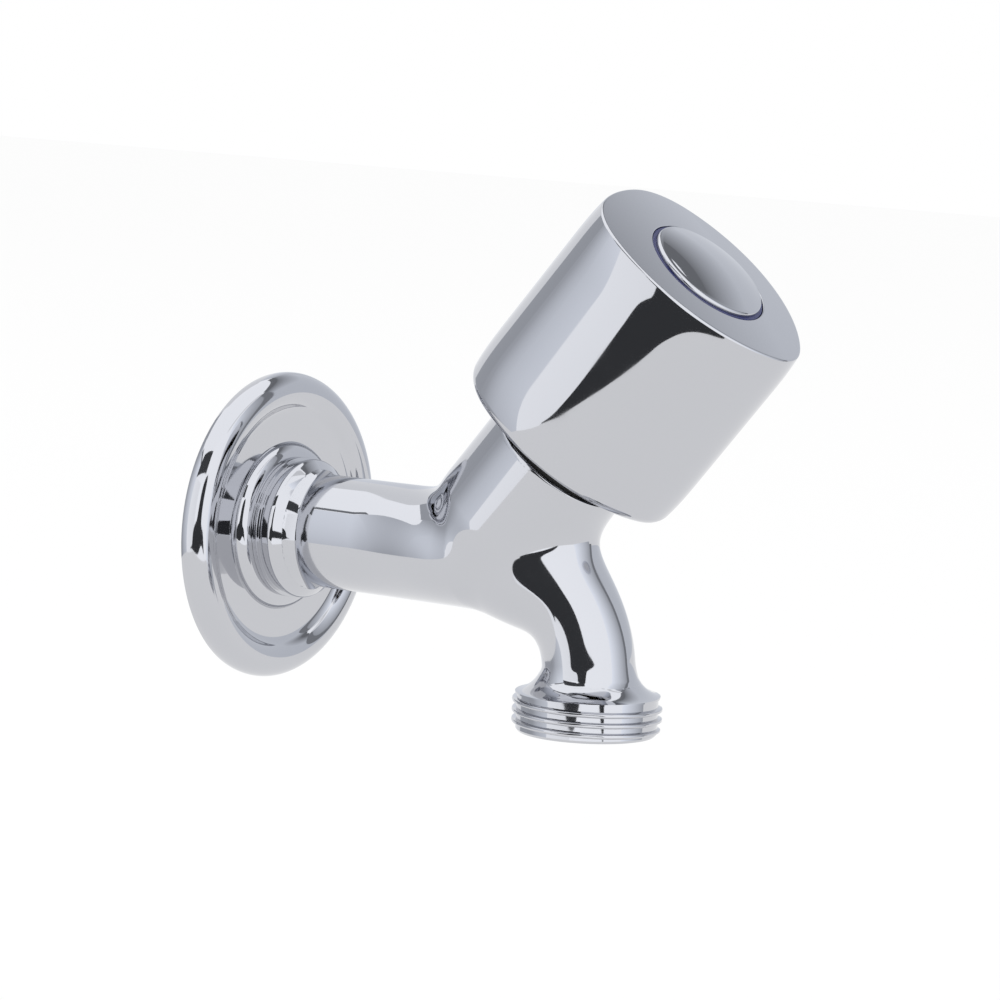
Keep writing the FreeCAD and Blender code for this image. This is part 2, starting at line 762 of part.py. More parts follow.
carrier = new_body("valve_carrier")
on_headwork(carrier)
head_top = plus(CARRIER_BOTTOM, size("carrier_head_height"))
groove_low = plus(CARRIER_BOTTOM, size("carrier_groove_base"))
groove_high = plus(groove_low, size("carrier_groove_width"))
turned(carrier, "head", [
    ("0", CARRIER_BOTTOM),
    (size("carrier_head_radius"), CARRIER_BOTTOM),
    (size("carrier_head_radius"), groove_low),
    (size("carrier_groove_radius"), groove_low),
    (size("carrier_groove_radius"), groove_high),
    (size("carrier_head_radius"), groove_high),
    (size("carrier_head_radius"), head_top),
    ("0", head_top),
])
prism(carrier, "guide_hexagon", lambda sketch: hexagon(sketch, size("carrier_hex_flats")),
      head_top, CARRIER_TOP)
carrier_bore = plus(size("spindle_thread_radius"), size("running_clearance"))
bore_base = plus(CARRIER_BOTTOM, size("carrier_bore_base"))
turned(carrier, "thread_bore", [
    ("0", bore_base), (carrier_bore, bore_base), (carrier_bore, CARRIER_TOP), ("0", CARRIER_TOP),
], "PartDesign::Groove")
peg_end = minus(CARRIER_BOTTOM, size("carrier_peg_length"))
turned(carrier, "washer_peg", [
    ("0", peg_end), (size("carrier_peg_radius"), peg_end),
    (size("carrier_peg_radius"), CARRIER_BOTTOM), ("0", CARRIER_BOTTOM),
])

o_ring("carrier_o_ring", size("carrier_groove_radius"), size("carrier_bore_radius"),
       plus(groove_low, half("carrier_groove_width")))

peg_hole = plus(size("carrier_peg_radius"), size("thread_clearance"))
tap_washer = new_body("tap_washer")
on_headwork(tap_washer)
ring(tap_washer, "washer", peg_hole, size("washer_radius"), SEAT_TOP, CARRIER_BOTTOM)

washer_plate = new_body("washer_plate")
on_headwork(washer_plate)
plate_bottom = minus(SEAT_TOP, size("plate_thickness"))
ring(washer_plate, "plate", peg_hole, size("plate_radius"), plate_bottom, SEAT_TOP)

washer_nut = new_body("washer_nut")
on_headwork(washer_nut)
nut_bottom = minus(plate_bottom, size("nut_height"))
prism(washer_nut, "nut", lambda sketch: hexagon(sketch, size("nut_flats")), nut_bottom, plate_bottom)
turned(washer_nut, "nut_hole", [
    ("0", nut_bottom), (peg_hole, nut_bottom), (peg_hole, plate_bottom), ("0", plate_bottom),
], "PartDesign::Groove")


# The handle: a soft three-lobed shell with a boss on the headwork axis

handle = new_body("handle")
on_headwork(handle)


def turn_with_handle(sketch):
    """Turn a sketch about the headwork axis to where the handle stands."""
    sketch.AttachmentOffset = FreeCAD.Placement(FreeCAD.Vector(0, 0, 0), turning(0, 0, 1))
    sketch.setExpression("AttachmentOffset.Rotation.Angle", size("handle_turn"))


def handle_section(sketch, inset="0"):
    """Six tangent arcs: a nose, two sides, two cheeks and a back, all drawn in by the inset."""
    turn_with_handle(sketch)
    nose = FreeCAD.Vector(-value(size("handle_nose_reach")), 0, 0)
    cheek = FreeCAD.Vector(value(size("handle_cheek_reach")), value(size("handle_cheek_spread")), 0)
    other = FreeCAD.Vector(cheek.x, -cheek.y, 0)
    radii = {kind: value(minus(size("handle_%s_radius" % kind), inset))
             for kind in ("nose", "cheek", "side", "back")}

    def outer_arc(first, first_radius, last, last_radius, radius):
        """The centre of an arc that wraps two circles, and where it touches them."""
        run = last - first
        reach_first = radius - first_radius
        reach_last = radius - last_radius
        share = (run.Length ** 2 + reach_first ** 2 - reach_last ** 2) / (2 * run.Length)
        ahead = FreeCAD.Vector(run).normalize()
        left = FreeCAD.Vector(-ahead.y, ahead.x, 0)
        centre = first + ahead * share + left * (reach_first ** 2 - share ** 2) ** 0.5
        touches = [centre + (spot - centre).normalize() * radius for spot in (first, last)]
        return centre, touches

    ring_of_lobes = [(nose, "nose"), (other, "cheek"), (cheek, "cheek")]
    wraps = ["side", "back", "side"]
    touches = []
    centres = []
    for i, wrap in enumerate(wraps):
        first, first_kind = ring_of_lobes[i]
        last, last_kind = ring_of_lobes[(i + 1) % 3]
        centre, pair = outer_arc(first, radii[first_kind], last, radii[last_kind], radii[wrap])
        centres.append(centre)
        touches.append(pair)

    def arc(centre, radius, start, end):
        """An arc anticlockwise from start to end."""
        turns = [FreeCAD.Vector(1, 0, 0).getAngle(spot - centre) * (1 if spot.y >= centre.y else -1)
                 for spot in (start, end)]
        whole = Part.Circle(centre, FreeCAD.Vector(0, 0, 1), radius)
        return sketch.addGeometry(Part.ArcOfCircle(whole, turns[0], turns[1]), False)

    chain = []
    for i, (lobe, kind) in enumerate(ring_of_lobes):
        geo = arc(lobe, radii[kind], touches[i - 1][1], touches[i][0])
        chain.append(geo)
        bind(sketch, "Radius", (geo,), minus(size("handle_%s_radius" % kind), inset))
        if kind == "nose":
            bind(sketch, "DistanceX", (-1, 1, geo, 3), "-" + size("handle_nose_reach"))
            sketch.addConstraint(Sketcher.Constraint("PointOnObject", geo, 3, -1))
        else:
            side = "" if lobe.y > 0 else "-"
            bind(sketch, "DistanceX", (-1, 1, geo, 3), size("handle_cheek_reach"))
            bind(sketch, "DistanceY", (-1, 1, geo, 3), side + size("handle_cheek_spread"))
        geo = arc(centres[i], radii[wraps[i]], touches[i][0], touches[i][1])
        chain.append(geo)
        bind(sketch, "Radius", (geo,), minus(size("handle_%s_radius" % wraps[i]), inset))
    for i, geo in enumerate(chain):
        sketch.addConstraint(Sketcher.Constraint("Tangent", geo, 2, chain[(i + 1) % 6], 1))


prism(handle, "shell", handle_section, size("handle_bottom"), size("handle_top"))
span = size("handle_crown_span")
crown = size("handle_crown")
crown_radius = tangent_radius(span, crown)
past_top = plus(size("handle_top"), size("cut_margin"))
turned(handle, "crown", [
    ("0", size("handle_top"), crown_radius, 1),
    (span, minus(size("handle_top"), crown)),
    (span, past_top),
    ("0", past_top),
], "PartDesign::Groove")


def on_shell(edge, level):
    """Whether an edge is one of the shell's outer arcs, within the crown's height of a station."""
    box = edge.BoundBox
    return box.ZMin > value(minus(level, crown)) and box.ZMax < value(plus(level, crown))


round_edges(handle, "lip", size("handle_lip_round"),
            lambda edge: on_shell(edge, minus(size("handle_top"), half("handle_crown"))))
round_edges(handle, "foot", size("handle_foot_round"),
            lambda edge: on_shell(edge, size("handle_bottom")))

prism(handle, "cavity", lambda sketch: handle_section(sketch, size("handle_wall")),
      size("handle_bottom"), CAVITY_TOP, "PartDesign::Pocket")
back_centre = "(%s - sqrt((%s - %s)^2 - %s^2))" % (
    size("handle_cheek_reach"), size("handle_back_radius"), size("handle_cheek_radius"),
    size("handle_cheek_spread"))
half_wall = half("handle_wall")
half_rib = half("rib_thickness")


def rib(sketch):
    """The rib that ties the boss to the nose and to the back of the shell."""
    turn_with_handle(sketch)
    nose_end = minus(half_wall, size("handle_nose_reach"), size("handle_nose_radius"))
    back_end = minus(plus(back_centre, size("handle_back_radius")), half_wall)
    rectangle(sketch, nose_end, "-" + half_rib, back_end, half_rib)


prism(handle, "rib", rib, minus(CAVITY_TOP, size("rib_drop")), CAVITY_TOP)


prism(handle, "boss", lambda sketch: circle(sketch, size("boss_radius")), size("boss_bottom"), CAVITY_TOP)
insert_hole = plus(size("insert_radius"), size("insert_clearance"))
recess_radius = plus(size("index_ring_radius"), size("button_clearance"))
turned(handle, "boss_bore", [
    ("0", size("boss_bottom")),
    (insert_hole, size("boss_bottom")),
    (insert_hole, INSERT_TOP),
    (size("screw_hole_radius"), INSERT_TOP),
    (size("screw_hole_radius"), RECESS_BOTTOM),
    (recess_radius, RECESS_BOTTOM),
    (recess_radius, past_top),
    ("0", past_top),
], "PartDesign::Groove")

handle_insert = new_body("handle_insert")
on_headwork(handle_insert)


def insert_section(sketch):
    """A round bush with a square hole."""
    circle(sketch, size("insert_radius"))
    square(sketch, plus(size("spindle_square"), size("insert_clearance"), size("insert_clearance")))


prism(handle_insert, "bush", insert_section, size("boss_bottom"), INSERT_TOP)


# The screw that holds the handle, and what covers it

screw_washer = new_body("screw_washer")
on_headwork(screw_washer)
ring(screw_washer, "washer", size("screw_hole_radius"), size("screw_washer_radius"),
     RECESS_BOTTOM, SCREW_SEAT)

handle_screw = new_body("handle_screw")
on_headwork(handle_screw)
head_end = plus(SCREW_SEAT, size("screw_head_height"))
screw_end = minus(SCREW_SEAT, size("screw_length"))
turned(handle_screw, "screw", [
    ("0", screw_end),
    (size("screw_radius"), screw_end),
    (size("screw_radius"), SCREW_SEAT),
    (size("screw_head_radius"), SCREW_SEAT),
    (size("screw_head_radius"), plus(SCREW_SEAT, times("screw_head_height", "screw_head_side_share"))),
    (times("screw_head_radius", "screw_head_face_share"), head_end),
    ("0", head_end),
])
prism(handle_screw, "key_socket", lambda sketch: hexagon(sketch, size("screw_radius")),
      minus(head_end, times("screw_head_height", "screw_head_side_share")), head_end, "PartDesign::Pocket")

index_ring = new_body("index_ring")
on_headwork(index_ring)
ring_inner = minus(size("index_ring_radius"), size("index_ring_width"))
ring(index_ring, "ring", ring_inner, size("index_ring_radius"), RECESS_BOTTOM,
     minus(size("handle_top"), size("index_ring_sink")))

index_button = new_body("index_button")
on_headwork(index_button)
button_radius = minus(ring_inner, size("button_clearance"))
button_face = minus(button_radius, size("button_bevel"))
button_edge = plus(size("handle_top"), size("button_bevel"))
dome_radius = tangent_radius(button_face, size("button_crown"))
button_hollow = minus(button_radius, size("button_wall"))
turned(index_button, "cap", [
    (button_hollow, RECESS_BOTTOM),
    (button_radius, RECESS_BOTTOM),
    (button_radius, size("handle_top")),
    (button_face, button_edge, dome_radius, -1),
    ("0", plus(button_edge, size("button_crown"))),
    ("0", minus(size("handle_top"), size("button_wall"))),
    (button_hollow, minus(size("handle_top"), size("button_wall"))),
])

doc.recompute()

failed = [thing.Name for thing in doc.Objects if "Invalid" in thing.State or "Error" in thing.State]
if failed:
    raise RuntimeError("these objects failed: " + ", ".join(failed))
pieces = [thing for thing in doc.Objects if thing.TypeId == "PartDesign::Body"]
for piece in pieces:
    shape = piece.Shape
    if shape.isNull() or not shape.isValid() or len(shape.Solids) != 1:
        raise RuntimeError("this piece is not one sound solid: " + piece.Label)
for piece in pieces:
    piece.Shape.exportStep("parts/%s.step" % piece.Label)
    print("%-22s %9.2f mm3" % (piece.Label, piece.Shape.Volume))
print(len(pieces), "pieces")
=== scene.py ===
import json
import math

import bmesh
import bpy
import numpy as np
from mathutils import Matrix, Vector

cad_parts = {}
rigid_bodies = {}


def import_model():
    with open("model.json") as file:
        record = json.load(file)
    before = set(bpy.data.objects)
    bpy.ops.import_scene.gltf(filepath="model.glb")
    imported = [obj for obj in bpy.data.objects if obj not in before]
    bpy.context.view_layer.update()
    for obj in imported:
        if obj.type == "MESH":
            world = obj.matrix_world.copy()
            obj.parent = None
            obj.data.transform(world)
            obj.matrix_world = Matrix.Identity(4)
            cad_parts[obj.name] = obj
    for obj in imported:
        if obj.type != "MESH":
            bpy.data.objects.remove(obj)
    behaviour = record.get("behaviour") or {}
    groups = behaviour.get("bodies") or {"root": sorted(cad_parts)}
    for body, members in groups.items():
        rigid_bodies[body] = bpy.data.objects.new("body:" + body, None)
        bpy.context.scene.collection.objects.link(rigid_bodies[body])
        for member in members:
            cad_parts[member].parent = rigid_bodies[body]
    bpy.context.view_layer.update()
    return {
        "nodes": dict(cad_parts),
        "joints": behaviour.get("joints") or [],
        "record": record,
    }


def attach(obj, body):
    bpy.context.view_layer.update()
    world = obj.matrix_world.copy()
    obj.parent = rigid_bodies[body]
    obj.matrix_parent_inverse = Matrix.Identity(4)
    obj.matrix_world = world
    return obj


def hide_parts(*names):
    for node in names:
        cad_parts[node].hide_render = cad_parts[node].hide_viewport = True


# A chromed washing machine tap on a white ground. Every size is in metres.
for leftover in list(bpy.data.objects):
    bpy.data.objects.remove(leftover)
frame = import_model()
mm = 0.001
turnJoint = [joint for joint in frame["joints"] if joint["name"] == "handle_turn"][0]
crossing = np.array(turnJoint["pos_m"])  # where the headwork axis meets the inlet axis
upAxis = np.array(turnJoint["axis"]) / np.linalg.norm(turnJoint["axis"])
sideAxis = np.array([1.0, 0.0, 0.0])
wallAxis = np.cross(upAxis, sideAxis)
hosePosition = [mount for mount in frame["record"]["mounts"] if mount["name"] == "hose_outlet"][0]["pos_m"]
outletReach = -hosePosition[1]
print("frame loaded:", len(frame["nodes"]), "nodes")


# Places: each gives points from two offsets and a station on one of the tap's three axes

def onHeadwork(x, y, station):
    x, y, station = np.broadcast_arrays(x, y, station)
    return crossing + x[..., None] * sideAxis + y[..., None] * wallAxis + station[..., None] * upAxis


def onInlet(x, y, station):
    x, y, station = np.broadcast_arrays(x, y, station)  # stations count from the wall face into the room
    return np.stack([x, -station, y], -1)


def onOutlet(x, y, station):
    x, y, station = np.broadcast_arrays(x, y, station)  # stations are heights
    return np.stack([x, y - outletReach, station], -1)


def roundAngles(count):
    return np.arange(count) * 2 * math.pi / count


def aroundCircle(place, angles, profile):
    radii = np.array([point[0] for point in profile])[:, None]
    stations = np.array([point[1] for point in profile])[:, None]
    return place(radii * np.cos(angles), radii * np.sin(angles), stations)


def circlePoints(centre, radius, angles):
    return [(centre[0] + radius * math.cos(a), centre[1] + radius * math.sin(a)) for a in angles]


def arcPoints(first, last, radius, side, steps):
    # an arc in a profile, the first point left out; side 1 bulges to the left of the way
    first, last = np.array(first, float), np.array(last, float)
    run = last - first
    half = np.linalg.norm(run) / 2
    left = np.array([-run[1], run[0]]) / (2 * half)
    centre = (first + last) / 2 - left * side * math.sqrt(radius ** 2 - half ** 2)
    start = math.atan2(*(first - centre)[::-1])
    sweep = -side * 2 * math.asin(half / radius)
    return circlePoints(centre, radius, start + sweep * np.arange(1, steps + 1) / steps)


# Shells: points, faces and, where a form is known exactly, its normals

def newShell():
    return {"points": [], "normals": [], "faces": [], "count": 0}


def addPoints(shell, points, normals=None):
    points = np.asarray(points, float).reshape(-1, 3)
    if normals is None:
        normals = np.zeros_like(points)
    start = shell["count"]
    shell["points"].append(points)
    shell["normals"].append(np.asarray(normals, float).reshape(-1, 3))
    shell["count"] += len(points)
    return np.arange(start, shell["count"])


def bridge(shell, first, last):
    following = np.roll(np.arange(len(first)), -1)
    for i, j in enumerate(following):
        shell["faces"].append((first[i], first[j], last[j], last[i]))


def addRows(shell, rows, normals=None):
    # rows of points round a closed section, with faces from each row to the next
    count, columns = rows.shape[:2]
    indices = addPoints(shell, rows, normals).reshape(count, columns)
    for first, last in zip(indices, indices[1:]):
        bridge(shell, first, last)
    return indices


def closeTip(shell, row, tip=None):
    if tip is None:
        tip = np.concatenate(shell["points"])[row].mean(0)
    middle = addPoints(shell, [tip])[0]
    for i in range(len(row)):
        shell["faces"].append((row[i], row[(i + 1) % len(row)], middle))


def zipRows(shell, first, firstAngles, last, lastAngles):
    # joins two rings that lie on one curve but have different numbers of points
    first, last = np.array(first)[np.argsort(firstAngles)], np.array(last)[np.argsort(lastAngles)]
    firstAngles, lastAngles = np.sort(firstAngles), np.sort(lastAngles)
    i = j = 0
    while i < len(first) or j < len(last):
        nextFirst = firstAngles[i + 1] if i + 1 < len(first) else firstAngles[0] + 2 * math.pi
        nextLast = lastAngles[j + 1] if j + 1 < len(last) else lastAngles[0] + 2 * math.pi
        if j >= len(last) or (i < len(first) and nextFirst <= nextLast):
            shell["faces"].append((first[i % len(first)], first[(i + 1) % len(first)], last[j % len(last)]))
            i += 1
        else:
            shell["faces"].append((first[i % len(first)], last[(j + 1) % len(last)], last[j % len(last)]))
            j += 1


def addObject(name, data):
    made = bpy.data.objects.new(name, data)
    bpy.context.scene.collection.objects.link(made)
    return made


def link(name, mesh, material):
    mesh.materials.clear()
    mesh.materials.append(material)
    return addObject(name, mesh)


def faceOutwards(mesh):
    work = bmesh.new()
    work.from_mesh(mesh)
    bmesh.ops.recalc_face_normals(work, faces=work.faces)
    work.to_mesh(mesh)
    work.free()


def finishedMesh(piece):
    # the mesh that the piece's modifiers make of it; the piece itself goes
    bpy.context.view_layer.update()
    mesh = bpy.data.meshes.new_from_object(piece.evaluated_get(bpy.context.evaluated_depsgraph_get()))
    piece.modifiers.clear()
    bpy.data.objects.remove(piece)
    return mesh


def smoothMesh(mesh, sharpAngle, normals=None):
    mesh.shade_smooth()
    mesh.set_sharp_from_angle(angle=math.radians(sharpAngle))
    if normals is None:
        return
    corners = np.zeros(len(mesh.loops), np.int32)
    mesh.loops.foreach_get("vertex_index", corners)
    faceNormals = np.zeros(len(mesh.polygons) * 3)
    mesh.polygons.foreach_get("normal", faceNormals)
    totals = np.zeros(len(mesh.polygons), np.int32)
    mesh.polygons.foreach_get("loop_total", totals)
    own = np.repeat(faceNormals.reshape(-1, 3), totals, axis=0)
    wanted = normals[corners]
    wanted[(wanted * own).sum(1) < math.cos(math.radians(sharpAngle))] = 0  # corners of another face
    mesh.normals_split_custom_set(wanted)


def shellObject(name, shell, material, sharpAngle=30):
    points = np.concatenate(shell["points"])
    normals = np.concatenate(shell["normals"])
    mesh = bpy.data.meshes.new(name)
    mesh.from_pydata(points.tolist(), [], [tuple(int(i) for i in face) for face in shell["faces"]])
    faceOutwards(mesh)
    mesh.validate()
    smoothMesh(mesh, sharpAngle, normals)
    return link(name, mesh, material)


# Materials

def newMaterial(name, colour, metallic, roughness):
    material = bpy.data.materials.new(name)
    material.use_nodes = True
    shader = material.node_tree.nodes["Principled BSDF"]
    shader.inputs["Base Color"].default_value = (*colour, 1)
    shader.inputs["Metallic"].default_value = metallic
    shader.inputs["Roughness"].default_value = roughness
    return material, shader


def addNode(tree, kind, inputs, **settings):
    # a node with its settings, then its inputs, each linked to another node's socket or given a value
    node = tree.nodes.new(kind)
    for name, value in settings.items():
        setattr(node, name, value)
    for name, value in inputs.items():
        if isinstance(value, bpy.types.NodeSocket):
            tree.links.new(value, node.inputs[name])
        else:
            node.inputs[name].default_value = value
    return node


def addNoise(tree, scale, detail):
    place = tree.nodes.new("ShaderNodeTexCoord").outputs["Object"]
    return addNode(tree, "ShaderNodeTexNoise", {"Vector": place, "Scale": scale, "Detail": detail}).outputs["Fac"]


def addRange(tree, source, low, high):
    return addNode(tree, "ShaderNodeMapRange", {"Value": source, "From Min": 0.3, "From Max": 0.7, "To Min": low,
                                                "To Max": high}).outputs["Result"]


chromeLook = {"colour": (0.553, 0.560, 0.590), "smears": (90, 4), "waves": (60, 1), "ripple": 0.001 * mm}


def polishedChrome(name, haze):
    material, shader = newMaterial(name, chromeLook["colour"], 1, haze)
    tree = material.node_tree
    smears = addNoise(tree, *chromeLook["smears"])  # scale and detail
    waves = addNode(tree, "ShaderNodeBump", {"Height": addNoise(tree, *chromeLook["waves"]), "Strength": 1,
                                             "Distance": chromeLook["ripple"]})
    tree.links.new(addRange(tree, smears, haze * 0.6, haze * 1.5), shader.inputs["Roughness"])
    tree.links.new(waves.outputs["Normal"], shader.inputs["Normal"])
    return material


def plainFinish(name, colour, metallic, roughness, grain):
    material, shader = newMaterial(name, colour, metallic, roughness)
    tree = material.node_tree
    speckle = addNoise(tree, grain, 3)
    tint = addNode(tree, "ShaderNodeMix", {"Factor": speckle, "A": (*[part * 0.85 for part in colour], 1),
                                           "B": (*colour, 1)}, data_type="RGBA")
    tree.links.new(addRange(tree, speckle, roughness * 0.8, roughness * 1.2), shader.inputs["Roughness"])
    tree.links.new(tint.outputs["Result"], shader.inputs["Base Color"])
    return material


finishes = {
    "chrome": polishedChrome("tapChrome", 0.05),
    "handle_chrome": polishedChrome("handleChrome", 0.045),
    "button_chrome": polishedChrome("buttonChrome", 0.03),
    "blue_plastic": plainFinish("indexBlue", (0.022, 0.028, 0.14), 0, 0.35, 900),
    "brass": plainFinish("turnedBrass", (0.72, 0.55, 0.28), 1, 0.28, 1500),
    "rubber": plainFinish("blackRubber", (0.02, 0.02, 0.02), 0, 0.7, 1200),
    "white_plastic": plainFinish("whitePlastic", (0.8, 0.8, 0.78), 0, 0.45, 900),
    "steel": plainFinish("screwSteel", (0.55, 0.55, 0.57), 1, 0.3, 1500),
}
slotOf = {part["node"]: part["material_slot"] for part in frame["record"]["subparts"]}
for nodeName, nodeObject in frame["nodes"].items():
    nodeObject.data.materials.clear()
    nodeObject.data.materials.append(finishes[slotOf[nodeName]])
print("materials made:", len(finishes))


# Node trees: a turned form from its profile, and a thread's ridge along its helix

def newTree(name, inputs):
    tree = bpy.data.node_groups.new(name, "GeometryNodeTree")
    tree.is_modifier = True
    tree.interface.new_socket("Geometry", in_out="INPUT", socket_type="NodeSocketGeometry")
    for label, kind in inputs:
        tree.interface.new_socket(label, in_out="INPUT", socket_type=kind)
    tree.interface.new_socket("Geometry", in_out="OUTPUT", socket_type="NodeSocketGeometry")
    return tree, tree.nodes.new("NodeGroupInput"), tree.nodes.new("NodeGroupOutput")


def addMath(tree, operation, *values):
    return addNode(tree, "ShaderNodeMath", dict(enumerate(values)), operation=operation).outputs[0]


def endTree(tree, geometry, given, result):
    real = addNode(tree, "GeometryNodeRealizeInstances", {"Geometry": geometry})
    paint = addNode(tree, "GeometryNodeSetMaterial", {"Geometry": real.outputs["Geometry"],
                                                      "Material": given.outputs["Material"]})
    tree.links.new(paint.outputs["Geometry"], result.inputs["Geometry"])
    return tree


def turnedTree():
    # a grid whose rows take the profile's points in turn and whose columns go round the axis
    tree, given, result = newTree("turned", [("Segments", "NodeSocketInt"), ("Material", "NodeSocketMaterial")])
    profile, segments = given.outputs["Geometry"], given.outputs["Segments"]
    count = addNode(tree, "GeometryNodeAttributeDomainSize", {"Geometry": profile}).outputs["Point Count"]
    columns = addMath(tree, "ADD", segments, 1)
    grid = addNode(tree, "GeometryNodeMeshGrid", {"Vertices X": addMath(tree, "ADD", count, 1),
                                                  "Vertices Y": columns})
    index = tree.nodes.new("GeometryNodeInputIndex").outputs["Index"]
    row = addMath(tree, "FLOOR", addMath(tree, "DIVIDE", addMath(tree, "ADD", index, 0.5), columns))
    column = addMath(tree, "SUBTRACT", index, addMath(tree, "MULTIPLY", row, columns))
    angle = addMath(tree, "DIVIDE", addMath(tree, "MULTIPLY", column, 2 * math.pi), segments)
    position = tree.nodes.new("GeometryNodeInputPosition").outputs["Position"]
    sample = addNode(tree, "GeometryNodeSampleIndex", {"Geometry": profile, "Value": position, "Index": addMath(
        tree, "MODULO", row, count)}, data_type="FLOAT_VECTOR")
    spot = addNode(tree, "ShaderNodeSeparateXYZ", {"Vector": sample.outputs["Value"]}).outputs
    place = addNode(tree, "ShaderNodeCombineXYZ", {
        "X": addMath(tree, "MULTIPLY", spot["X"], addMath(tree, "COSINE", angle)),
        "Y": addMath(tree, "MULTIPLY", spot["X"], addMath(tree, "SINE", angle)), "Z": spot["Z"]})
    move = addNode(tree, "GeometryNodeSetPosition", {"Geometry": grid.outputs["Mesh"],
                                                     "Position": place.outputs["Vector"]})
    merge = addNode(tree, "GeometryNodeMergeByDistance", {"Geometry": move.outputs["Geometry"],
                                                          "Distance": 0.0005 * mm})
    return endTree(tree, merge.outputs["Geometry"], given, result)


ridgeSection = {"foot": 0.86, "crest": 0.3,  # widths in pitches
                "rounding": 0.22 * mm, "roundingSteps": 4, "stepsPerTurn": 96, "tip": 0.02, "tipPower": 0.6}


def ridgeTree():
    # a trapezoid with rounded corners swept along a helix, smaller towards both ends
    inputs = [(label, "NodeSocketFloat") for label in ("Root Radius", "Depth", "Pitch", "Turns", "Fade")]
    tree, given, result = newTree("threadRidge", inputs + [("Material", "NodeSocketMaterial")])
    root, depth, pitch, turns, fade = [given.outputs[label] for label, _ in inputs]
    helix = addNode(tree, "GeometryNodeCurveSpiral", {
        "Resolution": ridgeSection["stepsPerTurn"], "Rotations": turns, "Start Radius": root, "End Radius": root,
        "Height": addMath(tree, "MULTIPLY", pitch, turns)})
    upright = addNode(tree, "GeometryNodeSetCurveNormal", {"Curve": helix.outputs["Curve"]}, mode="Z_UP")
    share = tree.nodes.new("GeometryNodeSplineParameter").outputs["Factor"]
    nearer = addMath(tree, "MINIMUM", share, addMath(tree, "SUBTRACT", 1, share))
    grown = addMath(tree, "DIVIDE", addMath(tree, "MULTIPLY", nearer, turns), fade)
    grown = addMath(tree, "MAXIMUM", addMath(tree, "MINIMUM", grown, 1), ridgeSection["tip"])
    section = addNode(tree, "GeometryNodeCurvePrimitiveQuadrilateral", {
        "Bottom Width": addMath(tree, "MULTIPLY", pitch, ridgeSection["foot"]),
        "Top Width": addMath(tree, "MULTIPLY", pitch, ridgeSection["crest"]),
        "Height": addMath(tree, "MULTIPLY", depth, 2), "Offset": 0}, mode="TRAPEZOID")
    rounding = addNode(tree, "GeometryNodeFilletCurve", {
        "Curve": section.outputs["Curve"], "Radius": ridgeSection["rounding"],
        "Count": ridgeSection["roundingSteps"]}, mode="POLY")
    outward = addNode(tree, "GeometryNodeTransform", {  # the narrow side away from the axis
        "Geometry": rounding.outputs["Curve"], "Rotation": (0, 0, math.pi / 2)})
    sweep = addNode(tree, "GeometryNodeCurveToMesh", {
        "Curve": upright.outputs["Curve"], "Profile Curve": outward.outputs["Geometry"], "Fill Caps": True,
        "Scale": addMath(tree, "POWER", grown, ridgeSection["tipPower"])})
    return endTree(tree, sweep.outputs["Mesh"], given, result)


def grow(name, tree, start, values):
    # runs a node tree on a starting mesh and gives its result as a plain mesh
    holder = addObject(name + "Holder", start)
    modifier = holder.modifiers.new("nodes", "NODES")
    modifier.node_group = tree
    for socket in tree.interface.items_tree:
        if socket.in_out == "INPUT" and socket.name in values:
            modifier[socket.identifier] = values[socket.name]
    mesh = finishedMesh(holder)
    faceOutwards(mesh)
    mesh.name = name
    return mesh


def placeMesh(mesh, origin, across, along, axis):
    # puts a mesh made about the Z axis on another axis
    turned = Matrix([[across[i], along[i], axis[i], origin[i]] for i in range(3)] + [[0, 0, 0, 1]])
    mesh.transform(turned)
    if turned.determinant() < 0:
        mesh.flip_normals()


def turnedMesh(name, profile, material, segments):
    start = bpy.data.meshes.new(name + "Profile")
    edges = [(i, i + 1) for i in range(len(profile) - 1)]
    start.from_pydata([(radius, 0, station) for radius, station in profile], edges, [])
    return grow(name, turnedNodes, start, {"Segments": segments, "Material": material})


turnedNodes = turnedTree()
ridgeNodes = ridgeTree()
print("node trees made")


# The casting: tube, neck and spout as one smooth form, found from its distance field

castingSizes = {
    "tubeRadius": 10.2 * mm, "lineStart": 7.0 * mm, "tubePastAxis": 0.2 * mm,
    "collarEnd": 9.9 * mm,  # where the collar's cone meets the sweep to the tube
    "collarSweep": 2.8 * mm, "collarEdge": 10.9 * mm,
    "spoutLead": 6 * mm, "spoutFall": 3.8 * mm, "spoutFoot": 19.5 * mm, "lineEnd": 24 * mm,
    "spoutShares": (0, 0.32, 0.52, 0.7, 0.85, 1),
    "spoutRadii": (10.2, 10.6, 9.9, 8.6, 8.2, 8.2),
    "flareTop": 17.0 * mm, "flareRadius": 5.6 * mm, "flareCut": 20.3 * mm,
    "neckRadius": 13.7 * mm, "neckBall": 9.0 * mm, "neckCut": 24.0 * mm,
    "blendBack": 7.8 * mm, "blendSide": 4.5 * mm, "blendFront": 9.0 * mm,
    "blendFrom": 48 * mm, "blendTo": 62 * mm,
    "swell": 0.27,  # the tube grows wider, not taller, on its way into the neck
    "swellFrom": 24 * mm, "swellTo": 43 * mm, "swellFade": 0.25,
    "voxel": 0.9 * mm, "roughColumns": 48, "roughRows": 60, "roughSpare": 2 * mm,
    "sweepLimit": 0.98, "weakSlope": 0.2, "tries": 400, "batch": 20000, "nearestRounds": 6, "settleRounds": 5,
}


